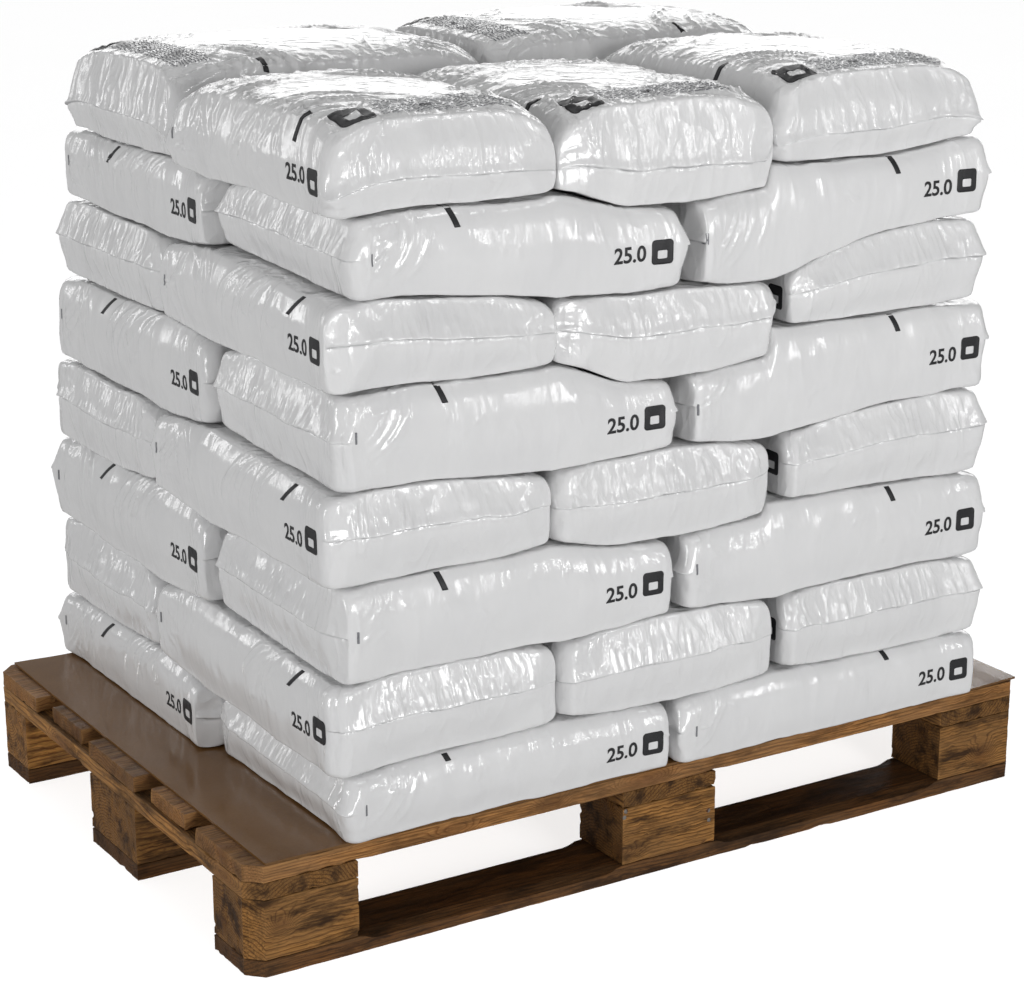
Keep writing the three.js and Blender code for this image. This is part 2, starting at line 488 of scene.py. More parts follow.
@dataclass(frozen=True)
class WoodFinish:
    """Sawn spruce, used and weathered. Rings come from the place in the log kept on the vertices."""

    name: str
    early: str
    late: str
    grey: str
    dirt: str
    worn: str
    greyness: float
    dirtiness: float
    ring_mm: float = 4.2
    swirl_mm: float = 30.0
    wander_mm: float = 14.0
    knot_mm: tuple[float, float] = (150.0, 46.0)
    roughness: float = 0.7
    # How much darker upward faces are: painted shade under the timbers above
    upper_face_shade: float = 0.4
    end_stain: float = 0.42
    rubbing: float = 0.5
    speckling: float = 0.38

    def material(self) -> Material:
        """Makes the wood: rings that swirl round knots, weathering, grime, dark ends, pale worn edges and
        painted shade on upward faces.

        Returns:
            The wood's material.
        """
        material, tree, shader = new_material(self.name)
        log = attribute(tree, "log_place", "Vector")
        knot, turn = self.rings(tree, log)
        early_late = ramp(tree, turn, [(0.0, self.early), (0.5, self.early), (0.88, self.late),
                                       (1.0, self.early)])
        fibre = noise(tree, self.drawn(tree, log, 0.05), 1.8, 4.0, 0.62)
        streaks = ramp(tree, fibre, [(0.3, "#5f5f5f"), (0.62, "#ffffff")])
        base = mix_colour(tree, 0.8, early_late, streaks, "MULTIPLY")
        knotty = mix_colour(tree, times(tree, knot, 0.75), base, self.late)

        patches = noise(tree, self.drawn(tree, log, 0.3), 50, 4.0, 0.6)
        weathered = mix_colour(tree, times(tree, self.greyness, share_of(tree, patches, 0.38, 0.62)),
                               knotty, self.grey)
        grime = noise(tree, self.drawn(tree, log, 0.26), 30, 7.0, 0.66)
        dirty = mix_colour(tree, times(tree, self.dirtiness, share_of(tree, grime, 0.45, 0.64)),
                           weathered, self.dirt)
        rubbed = mix_colour(tree, times(tree, attribute(tree, "wear"), self.rubbing), dirty, self.worn)
        specks = noise(tree, self.drawn(tree, log, 0.4), 5, 3.0, 0.6)
        speckled = mix_colour(tree, times(tree, share_of(tree, specks, 0.59, 0.74), self.speckling),
                              rubbed, self.dirt)
        # End grain drinks stain and shows darker; each timber has its own tone between pale and dark; upward
        # faces are darkened as painted shade from the timbers above them
        stain = times(tree, attribute(tree, "end_grain"), self.end_stain)
        ends = mix_colour(tree, stain, speckled, self.dirt)
        bright = times(tree, sum_of(tree, "ADD", 1.0, attribute(tree, "tone")), sum_of(
            tree, "SUBTRACT", 1.0, times(tree, attribute(tree, "upper"), self.upper_face_shade)))
        toned = add_node(tree, "ShaderNodeVectorMath", {"operation": "SCALE"}, {0: ends, "Scale": bright})
        grain = bump(tree, turn, 0.5, 0.9, bump(tree, fibre, 0.6, 1.4))
        feed(tree, shader, {"Base Color": toned.outputs[0], "Roughness": self.roughness, "IOR": 1.45,
                            "Specular IOR Level": 0.25, "Normal": bump(tree, specks, 0.5, 2.0, grain)})
        return material

    @staticmethod
    def drawn(tree: Tree, log: Socket, along: float) -> Socket:
        """Draws a pattern out along the log's x, the way that the fibres run."""
        return scaled(tree, log, along, 1.0, 1.0)

    def rings(self, tree: Tree,
              log: Socket) -> tuple[Socket, Socket]:
        """Works out the growth rings. A knot pushes them out round it and is dark and dense itself.

        Args:
            tree: The material's tree.
            log: The place in the log.

        Returns:
            How much of a knot there is, and how far through its ring each place lies, both from 0 to 1.
        """
        long_mm, wide_mm = self.knot_mm
        cells = add_node(tree, "ShaderNodeTexVoronoi", {"feature": "F1"}, {
            "Vector": self.drawn(tree, log, wide_mm / long_mm), "Scale": 1 / (wide_mm * MM)}).outputs
        red = add_node(tree, "ShaderNodeSeparateColor", inputs={"Color": cells["Color"]}).outputs[0]
        grown = times(tree, share_of(tree, red, 0.5, 0.62), share_of(tree, cells["Distance"], 0.42, 0.06))
        knot = sum_of(tree, "MAXIMUM", attribute(tree, "knot"), grown)
        wander = noise(tree, self.drawn(tree, log, 0.22), 34, 3.0, 0.5, "Color")
        sway = add_node(tree, "ShaderNodeVectorMath", {"operation": "MULTIPLY_ADD"}, {
            0: wander, 1: (0.0, self.wander_mm * MM, self.wander_mm * MM), 2: log}).outputs["Vector"]
        parts = add_node(tree, "ShaderNodeSeparateXYZ", inputs={"Vector": sway}).outputs
        radius = sum_of(tree, "SQRT", sum_of(tree, "ADD", times(tree, parts["Y"], parts["Y"]),
                                             times(tree, parts["Z"], parts["Z"])))
        swirled = sum_of(tree, "ADD", radius, times(tree, knot, self.swirl_mm * MM))
        return knot, sum_of(tree, "FRACT", sum_of(tree, "DIVIDE", swirled, self.ring_mm * MM))


@dataclass(frozen=True)
class BoardFinish:
    """Smooth pressed brown solid board, calendered."""

    colour: str = "#6f4d2a"
    light: str = "#7e5b34"
    roughness: float = 0.16
    rubbed: tuple[float, float] = (-0.02, 0.05)
    gloss: float = 0.32
    scuff_mm: float = 55.0
    fibre_mm: float = 2.0
    fibre_share: float = 0.16

    def material(self) -> Material:
        """Makes the board: an even brown sheet with a soft sheen that scuffs break up.

        Returns:
            The board's material.
        """
        material, tree, shader = new_material("pressed_brown_board")
        drawn = scaled(tree, on_object(tree), 0.7, 1.0, 1.0)
        scuffs = noise(tree, drawn, self.scuff_mm, 3.0)
        fibres = noise(tree, drawn, self.fibre_mm, 3.0, 0.6)
        tint = mix_colour(tree, scuffs, self.colour, self.light)
        mottle = ramp(tree, fibres, [(0.35, "#9a9a9a"), (0.65, "#ffffff")])
        worn = tuple(self.roughness + change for change in self.rubbed)
        feed(tree, shader, {
            "Base Color": mix_colour(tree, self.fibre_share, tint, mottle, "MULTIPLY"),
            "Specular IOR Level": self.gloss, "Roughness": share_of(tree, scuffs, 0.3, 0.7, worn, "LINEAR"),
            "Normal": bump(tree, fibres, 0.12, 0.6)})
        return material


@dataclass(frozen=True)
class NailFinish:
    """Bright drawn wire nails that have begun to rust."""

    steel: str = "#8b8782"
    rust: str = "#5b3a26"
    bloom_mm: float = 6.0

    def material(self) -> Material:
        """Makes the nail heads: dull grey steel under blooms of brown rust.

        Returns:
            The nails' material.
        """
        material, tree, shader = new_material("rusting_drawn_steel")
        bloom = share_of(tree, noise(tree, on_object(tree), self.bloom_mm, 4.0), 0.42, 0.6, how="LINEAR")
        feed(tree, shader, {"Base Color": mix_colour(tree, bloom, self.steel, self.rust),
                            "Metallic": 0.7, "Roughness": 0.55})
        return material


@dataclass(frozen=True)
class FloorFinish:
    """Painted studio floor."""

    colour: str = "#f4f4f4"
    light: str = "#f6f6f6"
    bounce: str = "#9c9c9c"

    def material(self) -> Material:
        """Makes the floor: plain matt white.

        Returns:
            The floor's material.
        """
        material, tree, shader = new_material("white_studio_floor")
        clouds = add_node(tree, "ShaderNodeTexNoise", inputs={"Vector": on_object(tree), "Scale": 0.6})
        white = mix_colour(tree, clouds.outputs["Fac"], self.colour, self.light)
        # The camera sees the white sweep; what the floor throws back at the load is softer
        seen = add_node(tree, "ShaderNodeLightPath").outputs["Is Camera Ray"]
        feed(tree, shader, {"Base Color": mix_colour(tree, seen, self.bounce, white),
                            "Roughness": 0.9, "Specular IOR Level": 0.1})
        return material


class ShinesOn(Enum):
    """What a lamp lights: a flag held between it and the rest keeps its light off."""

    ALL = "all"
    NOT_FLOOR = "not_floor"
    LOAD = "load_only"
    PALLET = "pallet_only"


@dataclass(frozen=True)
class SoftBox:
    """A square soft box, in metres and watts."""

    name: str
    place: tuple[float, float, float]
    target: tuple[float, float, float]
    size: tuple[float, float]
    power: float
    shines_on: ShinesOn = ShinesOn.ALL

    def hang(self) -> Thing:
        """Hangs the box, unseen by the camera, so that it shines on its target.

        Returns:
            The lamp's object.
        """
        lamp = bpy.data.lights.new(self.name, "AREA")
        lamp.shape = "RECTANGLE"
        lamp.size, lamp.size_y = self.size
        lamp.energy = self.power
        box = bpy.data.objects.new(self.name, lamp)
        box.location = self.place
        box.rotation_euler = (Vector(self.target) - Vector(self.place)).to_track_quat("-Z", "Y").to_euler()
        box.visible_camera = False
        bpy.context.scene.collection.objects.link(box)
        return box


@dataclass
class Studio:
    """The camera at the photograph's angle, the floor, the sky and the soft lights."""

    camera_place: tuple[float, float, float] = (-1.782, -2.883, 1.408)
    azimuth_deg: float = -31.86
    elevation_deg: float = 16.46
    focal_px: float = 2563.0
    sensor_mm: float = 36.0
    view_end_m: float = 200.0
    floor_size_m: float = 60.0
    sky_strength: float = 0.33
    flag_share: float = 0.92
    flag_heights: tuple[float, float] = (0.3, 0.7)
    flag_depths: tuple[float, float] = (0.45, -0.15)
    overhead_strength: float = 0.2
    floor_strength: float = 2.85
    floor_from_deg: tuple[float, float] = (0.0, 90.0)
    overhead_from_deg: tuple[float, float] = (20.0, 60.0)
    overhead_width_deg: float = 35.0
    boxes: tuple[SoftBox, ...] = (
        SoftBox("front_box", (0.1, -3.3, 1.05), (0.0, 0.0, 0.9), (1.1, 1.1), 37.0),
        SoftBox("front_strip", (1.8, -3.2, 1.25), (0.0, -0.4, 0.7), (0.14, 1.4), 9.0, ShinesOn.LOAD),
        SoftBox("left_strip", (-4.0, -0.9, 1.3), (0.0, 0.0, 0.7), (0.9, 1.6), 44.0),
        SoftBox("left_rear_strip", (-2.4, 3.0, 1.5), (-0.5, 0.0, 0.6), (0.4, 1.5), 8.0, ShinesOn.LOAD),
        SoftBox("high_strip", (0.3, -1.7, 3.3), (0.0, -0.3, 0.8), (2.2, 0.14), 9.0, ShinesOn.LOAD),
        SoftBox("rear_wall", (2.4, 3.8, 2.2), (0.0, 0.0, 1.0), (6.3, 2.9), 128.0, ShinesOn.LOAD),
        SoftBox("low_panel", (-0.5, 4.36, 1.15), (-0.55, 0.4, 0.15), (1.9, 1.0), 70.0, ShinesOn.PALLET),
        SoftBox("side_panel", (3.41, 2.45, 1.1), (0.58, -0.38, 0.15), (1.4, 0.9), 26.0, ShinesOn.PALLET),
    )
    groups: dict[ShinesOn, bpy.types.Collection] = field(default_factory=dict)

    def place_camera(self) -> None:
        """Puts the camera where the photograph was taken from."""
        azimuth, elevation = math.radians(self.azimuth_deg), math.radians(self.elevation_deg)
        back = Vector((math.sin(azimuth) * math.cos(elevation),
                       -math.cos(azimuth) * math.cos(elevation), math.sin(elevation)))
        right = Vector((math.cos(azimuth), math.sin(azimuth), 0.0))
        up = back.cross(right)
        lens = bpy.data.cameras.new("camera")
        lens.sensor_fit = "HORIZONTAL"
        lens.sensor_width = self.sensor_mm
        lens.lens = self.focal_px / IMAGE_WIDTH_PX * self.sensor_mm
        lens.clip_end = self.view_end_m
        camera = bpy.data.objects.new("camera", lens)
        turn = Matrix((right, up, back)).transposed().to_4x4()
        camera.matrix_world = Matrix.Translation(self.camera_place) @ turn
        bpy.context.scene.collection.objects.link(camera)
        bpy.context.scene.camera = camera

    def lay_floor(self) -> None:
        """Lays the plain pale floor and hangs the lights, some of which leave it out."""
        half = self.floor_size_m / 2 / MM
        corners = np.array([(-half, -half, 0), (half, -half, 0), (half, half, 0), (-half, half, 0)], float)
        floor = mesh_object("floor", corners, [(0, 1, 2, 3)], FloorFinish().material(), smooth=False)
        floor_only = bpy.data.collections.new("floor_only")
        floor_only.objects.link(floor)
        even = self.hang_wide_light("floor_light", self.floor_from_deg, self.floor_strength)
        even.light_linking.receiver_collection = floor_only
        even.light_linking.blocker_collection = floor_only
        self.groups = {kind: bpy.data.collections.new(kind.value) for kind in ShinesOn}
        self.groups[ShinesOn.NOT_FLOOR].objects.link(floor)
        self.groups[ShinesOn.NOT_FLOOR].collection_objects[0].light_linking.link_state = "EXCLUDE"
        overhead = self.hang_wide_light("overhead", self.overhead_from_deg, self.overhead_strength)
        overhead.light_linking.receiver_collection = self.groups[ShinesOn.NOT_FLOOR]
        for box in self.boxes:
            lamp = box.hang()
            if box.shines_on is not ShinesOn.ALL:
                lamp.light_linking.receiver_collection = self.groups[box.shines_on]

    def light_pieces(self, kind: ShinesOn, pieces: list[Thing]) -> None:
        """Puts pieces into the light of the lamps that shine on their kind alone."""
        for piece in pieces:
            self.groups[kind].objects.link(piece)

    def hang_wide_light(self, name: str, from_deg: tuple[float, float], strength: float) -> Thing:
        """Hangs a light that comes from far away, as wide as a big overhead sail.

        Args:
            name: The light's name.
            from_deg: Where it comes from, as degrees from +Y towards +X, and above the horizon.
            strength: Its strength.

        Returns:
            The light's object.
        """
        azimuth, elevation = (math.radians(a) for a in from_deg)
        towards = Vector((math.sin(azimuth) * math.cos(elevation), math.cos(azimuth) * math.cos(elevation),
                          math.sin(elevation)))
        wide = bpy.data.lights.new(name, "SUN")
        wide.energy = strength
        wide.angle = math.radians(self.overhead_width_deg)
        lamp = bpy.data.objects.new(name, wide)
        lamp.rotation_euler = (-towards).to_track_quat("-Z", "Y").to_euler()
        bpy.context.scene.collection.objects.link(lamp)
        return lamp

    def light(self) -> None:
        """Sets the sky, with a dark flag over the front that leaves the upper slopes grey."""
        world = bpy.data.worlds.new("studio_sky")
        world.use_nodes = True
        bpy.context.scene.world = world
        tree = world.node_tree
        background = tree.nodes["Background"]
        towards = add_node(tree, "ShaderNodeSeparateXYZ", inputs={
            "Vector": add_node(tree, "ShaderNodeTexCoord").outputs["Generated"]}).outputs
        high = share_of(tree, towards["Z"], *self.flag_heights)
        front = share_of(tree, towards["Y"], *self.flag_depths)
        flag = times(tree, times(tree, high, front), self.flag_share)
        strength = times(tree, sum_of(tree, "SUBTRACT", 1.0, flag), self.sky_strength)
        feed(tree, background, {"Color": (1.0, 1.0, 1.0, 1.0), "Strength": strength})
        bpy.context.scene.view_settings.view_transform = "Standard"

    def build(self) -> None:
        """Sets up all of the studio."""
        self.place_camera()
        self.lay_floor()
        self.light()
        LOG.info("studio ready")


class Corner(Enum):
    """How a corner of a block's plan is finished."""

    ROUND = "round"
    CHAMFER = "chamfer"


def shape_block(points: np.ndarray, half: np.ndarray, edge: float, corner: float,
                styles: dict[tuple[int, int], Corner]) -> tuple[np.ndarray, np.ndarray]:
    """Rounds the long edges of a block and rounds or cuts its four upright corners.

    Args:
        points: Points on the faces of the plain block, in millimetres from its middle.
        half: Half of its length, width and height.
        edge: Radius of the upper and lower edges.
        corner: Radius or cut of the upright corners.
        styles: What each corner, such as (1, -1), gets. A corner left out is square.

    Returns:
        The moved points and the outward normals there.
    """
    moved = points.copy()
    outward = np.zeros_like(points)
    inset_x = half[0] - np.abs(moved[:, 0])
    inset_y = half[1] - np.abs(moved[:, 1])
    sign_x = np.where(moved[:, 0] < 0, -1.0, 1.0)
    sign_y = np.where(moved[:, 1] < 0, -1.0, 1.0)
    nearer_x = inset_x < inset_y
    outward[:, 0] = np.where(nearer_x, sign_x, 0)
    outward[:, 1] = np.where(nearer_x, 0, sign_y)
    inset = np.minimum(inset_x, inset_y)

    for (cx, cy), style in styles.items():
        near = (sign_x == cx) & (sign_y == cy) & (inset_x < corner) & (inset_y < corner)
        dx, dy = corner - inset_x[near], corner - inset_y[near]
        largest = np.maximum(dx, dy)
        length = np.hypot(dx, dy) if style is Corner.ROUND else dx + dy
        shrink = np.where(length > 1e-9, largest / np.maximum(length, 1e-9), 1)
        moved[near, 0] = cx * (half[0] - corner + dx * shrink)
        moved[near, 1] = cy * (half[1] - corner + dy * shrink)
        if style is Corner.ROUND:
            size = np.maximum(np.hypot(dx, dy), 1e-9)
            outward[near, 0] = cx * dx / size
            outward[near, 1] = cy * dy / size
        else:
            outward[near, 0] = cx * math.sqrt(0.5)
            outward[near, 1] = cy * math.sqrt(0.5)

    across = np.clip(edge - inset, 0, None)
    upright = np.clip(np.abs(moved[:, 2]) - (half[2] - edge), 0, None)
    both = (across > 1e-9) & (upright > 1e-9)
    length = np.maximum(np.hypot(across, upright), 1e-9)
    shrink = np.where(both, np.maximum(across, upright) / length, 1.0)
    moved[:, :2] -= outward[:, :2] * (across * (1 - shrink))[:, None]
    sign_z = np.where(moved[:, 2] < 0, -1.0, 1.0)
    moved[:, 2] = np.where(both, sign_z * (half[2] - edge + upright * shrink), moved[:, 2])

    on_cap = np.abs(points[:, 2]) >= half[2] - 1e-6
    tilt = np.where(both, upright / length, np.where(on_cap, 1.0, 0.0))
    flat = np.where(both, across / length, np.where(on_cap, 0.0, 1.0))
    normal = outward * flat[:, None]
    normal[:, 2] = sign_z * tilt
    return moved, normal


def block_net(lines: list[np.ndarray]) -> tuple[np.ndarray, list]:
    """Makes the surface grid of a block from the places of its grid lines.

    Args:
        lines: Rising places along x, y and z.

    Returns:
        Points and quads whose normals point outwards.
    """
    numbers = {}
    points = []
    faces = []

    def number(i: int, j: int, k: int) -> int:
        """Gives the number of the grid's point, which is made when it is first asked for.

        Args:
            i: Its place along the block.
            j: Its place across it.
            k: Its place up.

        Returns:
            The point's number.
        """
        if (i, j, k) not in numbers:
            numbers[i, j, k] = len(points)
            points.append((lines[0][i], lines[1][j], lines[2][k]))
        return numbers[i, j, k]

    for axis in range(3):
        first, second = (axis + 1) % 3, (axis + 2) % 3
        for side in (0, len(lines[axis]) - 1):
            for i in range(len(lines[first]) - 1):
                for j in range(len(lines[second]) - 1):
                    quad = []
                    for di, dj in ((0, 0), (1, 0), (1, 1), (0, 1)):
                        cell = [0, 0, 0]
                        cell[axis], cell[first], cell[second] = side, i + di, j + dj
                        quad.append(number(*cell))
                    faces.append(tuple(quad if side else quad[::-1]))
    return np.array(points), faces


@dataclass
class SackSize:
    """What every sack of the load shares, in millimetres.

    wander, swell, dents and puckers are unevenness, each with its height and the size of its
    lumps. printed_calm is by how much the printed areas lack folds, and dents and puckers.
    """

    length: float = 490.0
    width: float = 330.0
    press_height: float = 110.0
    press_edge: float = 25.0
    press_corner: float = 40.0
    edge: float = 6.0
    corner: float = 14.0
    ear: float = 6.0
    end_draw: tuple[float, float] = (9.0, 5.0)
    side_draw: float = 2.0
    shoulder_draw: float = 9.0
    press_bulge: float = 4.2
    press_rise: float = 0.35
    corner_fill: float = 3.5
    corner_reach: float = 95.0
    seal_height: float = 0.55
    top_seal_height: float = 0.36
    gap: float = 0.4
    fine_step: float = 3.0
    fine_row: float = 3.6
    plain_step: float = 8.0
    top_step: float = 4.0
    rest_step: float = 26.0
    near_corner: float = 48.0
    corner_step: float = 6.0
    kept_share: float = 0.65
    wander: tuple[float, float] = (2.0, 38.0)
    swell: tuple[float, float] = (1.2, 70.0)
    dents: tuple[float, float] = (0.85, 33.0)
    puckers: tuple[float, float] = (0.4, 15.0)
    printed_calm: tuple[float, float] = (0.8, 0.6)
    open_room: float = 12.0
    closed_room: float = 1.2


@dataclass(frozen=True)
class Filling:
    """How a sack of the cloth simulation is filled.

    over_height_mm is how much higher the film's own shape is than the pressed sack, radius_mm
    its edge radius. slack is how much longer the film is than that shape at the middle and at
    the ends, and seed that of its first unevenness.
    """

    over_height_mm: float
    radius_mm: float
    slack: tuple[float, float]
    pressure: float
    seed: int


class Pressing(Enum):
    """The sacks that are pressed."""

    FIRM = Filling(0, 24.0, (0.004, 0.02), 4.0, 1)
    FULL = Filling(4, 30.0, (0.01, 0.03), 3.0, 2)
    PLUMP = Filling(8, 34.0, (0.015, 0.04), 6.0, 3)
    SLACK = Filling(7, 26.0, (0.02, 0.06), 5.0, 4)
    LOOSE = Filling(8, 20.0, (0.01, 0.08), 8.0, 5)


@dataclass
class PressedFilm:
    """Film sacks pressed between plates in Blender's cloth simulation.

    The result is kept as the way each point of the film moved from the plain rounded sack, on
    the grid of each of the block's six faces, so that a sack of any fineness can read it.
    """

    size: SackSize
    cells: tuple[int, int, int] = (62, 42, 14)
    frames: int = 23
    spacing_m: float = 1.2
    wall_clearance_mm: float = 6.0
    start_clearance_mm: float = 6.0
    start_share: float = 0.985
    plate_half_m: float = 0.05
    unevenness_mm: float = 0.4
    results: dict[Pressing, dict[tuple[int, int], np.ndarray]] = field(default_factory=dict)

    def rounded(self, unit: np.ndarray, height: float, radius: float) -> np.ndarray:
        """Gives the sack's plain rounded shape, in millimetres.

        Args:
            unit: Points on the unit block.
            height: The sack's height.
            radius: The radius of its long edges.

        Returns:
            The points' places.
        """
        half = np.array([self.size.length, self.size.width, height]) / 2
        styles = {(x, y): Corner.ROUND for x in (-1, 1) for y in (-1, 1)}
        return shape_block(unit * half, half, radius, self.size.press_corner, styles)[0]

    def plates(self, middle: np.ndarray, collection: bpy.types.Collection) -> list[Thing]:
        """Sets plates and walls round one sack.

        Args:
            middle: The sack's middle, in metres.
            collection: What the plates are kept in, so that only this sack meets them.

        Returns:
            The six plates.
        """
        half = np.array([self.size.length / 2 + self.wall_clearance_mm,
                         self.size.width / 2 + self.wall_clearance_mm, self.size.press_height / 2]) * MM
        made = []
        for axis in range(3):
            for side in (-1, 1):
                reach = half + 0.1
                reach[axis] = self.plate_half_m
                centre = middle.copy()
                centre[axis] += side * (half[axis] + self.plate_half_m)
                unit = np.array([(x, y, z) for x in (-1, 1) for y in (-1, 1) for z in (-1, 1)])
                quads = [(0, 1, 3, 2), (4, 6, 7, 5), (0, 4, 5, 1), (2, 3, 7, 6), (0, 2, 6, 4), (1, 5, 7, 3)]
                mesh = bpy.data.meshes.new("plate")
                mesh.from_pydata((unit * reach + centre).tolist(), [], quads)
                plate = bpy.data.objects.new("plate", mesh)
                collection.objects.link(plate)
                plate.modifiers.new("collision", "COLLISION")
                plate.collision.thickness_outer = 0.001
                plate.collision.cloth_friction = 1
                made.append(plate)
        return made

    def hang_cloth(self, sack: Thing, unit: np.ndarray, rest: np.ndarray, filling: Filling,
                   collection: bpy.types.Collection) -> None:
        """Gives one sack its cloth: stiff film, slack towards the ends, pressed from inside.

        Args:
            sack: The object that is simulated.
            unit: Its points on the unit block.
            rest: The film's own shape, in metres.
            filling: How it is filled.
            collection: The plates that it meets.
        """
        sack.shape_key_add(name="Basis")
        own_shape = sack.shape_key_add(name="own_shape", from_mix=False)
        own_shape.data.foreach_set("co", rest.astype(np.float32).ravel())
        own_shape.value = 0
        group = sack.vertex_groups.new(name="slack")
        for number, share in enumerate(np.clip((np.abs(unit[:, 0]) - 0.78) / 0.2, 0, 1)):
            group.add([number], float(share), "REPLACE")
        cloth = sack.modifiers.new("cloth", "CLOTH")
        film = cloth.settings
        film.quality, film.mass = 5, 0.0012
        film.tension_stiffness, film.compression_stiffness, film.shear_stiffness = 30, 20, 8
        film.bending_stiffness = 0.02
        film.tension_damping = film.compression_damping = film.shear_damping = 5
        film.bending_damping = 0.5
        film.use_pressure, film.uniform_pressure_force = True, filling.pressure
        film.rest_shape_key = own_shape
        film.vertex_group_shrink = group.name
        film.shrink_min, film.shrink_max = -filling.slack[0], -filling.slack[1]
        film.effector_weights.gravity = 0
        meets = cloth.collision_settings
        meets.use_collision, meets.use_self_collision = True, False
        meets.distance_min, meets.collision_quality, meets.collection = 0.001, 2, collection
        cloth.point_cache.frame_start, cloth.point_cache.frame_end = 1, self.frames + 1

    def press(self) -> None:
        """Runs all the pressings side by side and keeps their results."""
        scene = bpy.context.scene
        unit, faces = block_net([2 * np.arange(count + 1) / count - 1 for count in self.cells])
        running = []
        for place, pressing in enumerate(Pressing):
            middle = np.array([place * self.spacing_m, 0.0, 0.0])
            collection = bpy.data.collections.new(f"press_{place}")
            scene.collection.children.link(collection)
            plates = self.plates(middle, collection)
            filling = pressing.value
            own_height = self.size.press_height + filling.over_height_mm
            rng = np.random.default_rng(filling.seed)
            rest = self.rounded(unit, own_height, filling.radius_mm)
            rest = rest + rng.normal(0, self.unevenness_mm, rest.shape)
            start_height = self.size.press_height - self.start_clearance_mm
            start = rest * (self.start_share, self.start_share, start_height / own_height)
            mesh = bpy.data.meshes.new("pressed")
            mesh.from_pydata((start * MM + middle).tolist(), [], faces)
            sack = bpy.data.objects.new("pressed", mesh)
            scene.collection.objects.link(sack)
            self.hang_cloth(sack, unit, rest * MM + middle, filling, collection)
            running.append((pressing, middle, sack, plates, collection))
        for number in range(1, self.frames + 1):
            scene.frame_set(number)
        depsgraph = bpy.context.evaluated_depsgraph_get()
        plain = self.rounded(unit, self.size.press_height, self.size.press_edge)
        for pressing, middle, sack, plates, collection in running:
            mesh = sack.evaluated_get(depsgraph).to_mesh()
            found = np.empty(len(mesh.vertices) * 3)
            mesh.vertices.foreach_get("co", found)
            moved = (found.reshape(-1, 3) - middle) / MM - plain
            self.results[pressing] = self.by_face(unit, moved)
            sack.to_mesh_clear()
            for used in (sack, *plates):
                bpy.data.objects.remove(used)
            bpy.data.collections.remove(collection)
        scene.frame_set(1)

    def by_face(self, unit: np.ndarray, moved: np.ndarray) -> dict[tuple[int, int], np.ndarray]:
        """Sorts the movements into one grid for each face of the block.

        Args:
            unit: The film's points on the unit block.
            moved: How each of them moved, in millimetres.

        Returns:
            A grid of movements for each axis and side.
        """
        grids = {}
        cells = np.array(self.cells)
        index = np.rint((unit + 1) / 2 * cells).astype(int)
        for axis in range(3):
            first, second = (axis + 1) % 3, (axis + 2) % 3
            for side in (-1, 1):
                on_face = index[:, axis] == (0 if side < 0 else cells[axis])
                grid = np.zeros((cells[first] + 1, cells[second] + 1, 3))
                grid[index[on_face, first], index[on_face, second]] = moved[on_face]
                # The taut long sides lose the marks that the plates' edges leave in the cloth
                for _ in range(4 if axis == 1 else 1):
                    for along in (0, 1):
                        padded = np.pad(grid, [(1, 1) if a == along else (0, 0) for a in range(3)],
                                        mode="reflect", reflect_type="odd")
                        low, high = (np.take(padded, np.arange(grid.shape[along]) + step, axis=along)
                                     for step in (0, 2))
                        grid = 0.5 * grid + 0.25 * (low + high)
                grids[axis, side] = grid
        return grids

    def read(self, pressing: Pressing, unit: np.ndarray, flips: np.ndarray) -> np.ndarray:
        """Reads how the film moved at points of the unit block.

        Args:
            pressing: Which sack.
            unit: Points on the block's surface, from -1 to 1.
            flips: 1 or -1 for each axis, which mirrors the result.

        Returns:
            The movement in millimetres.
        """
        out = np.zeros_like(unit)
        if pressing not in self.results:
            return out
        mirrored = unit * flips
        nearest = np.argmax(np.abs(mirrored), axis=1)
        for (axis, side), grid in self.results[pressing].items():
            here = (nearest == axis) & (np.sign(mirrored[:, axis]) == side)
            first, second = (axis + 1) % 3, (axis + 2) % 3
            last = np.array(grid.shape[:2]) - 1
            spot = (mirrored[here][:, [first, second]] + 1) / 2 * last
            low = np.clip(np.floor(spot).astype(int), 0, last - 1)
            part = spot - low
            # Cubic B-spline, so that the cloth's cells leave no ledges
            weights = ((1 - part) ** 3 / 6, (3 * part ** 3 - 6 * part ** 2 + 4) / 6,
                       (-3 * part ** 3 + 3 * part ** 2 + 3 * part + 1) / 6, part ** 3 / 6)
            padded = np.pad(grid, ((1, 1), (1, 1), (0, 0)), mode="reflect", reflect_type="odd")
            value = 0
            for i in range(4):
                for j in range(4):
                    weight = weights[i][:, 0] * weights[j][:, 1]
                    value = value + padded[low[:, 0] + i, low[:, 1] + j] * weight[:, None]
            out[here] = value
        return out * flips


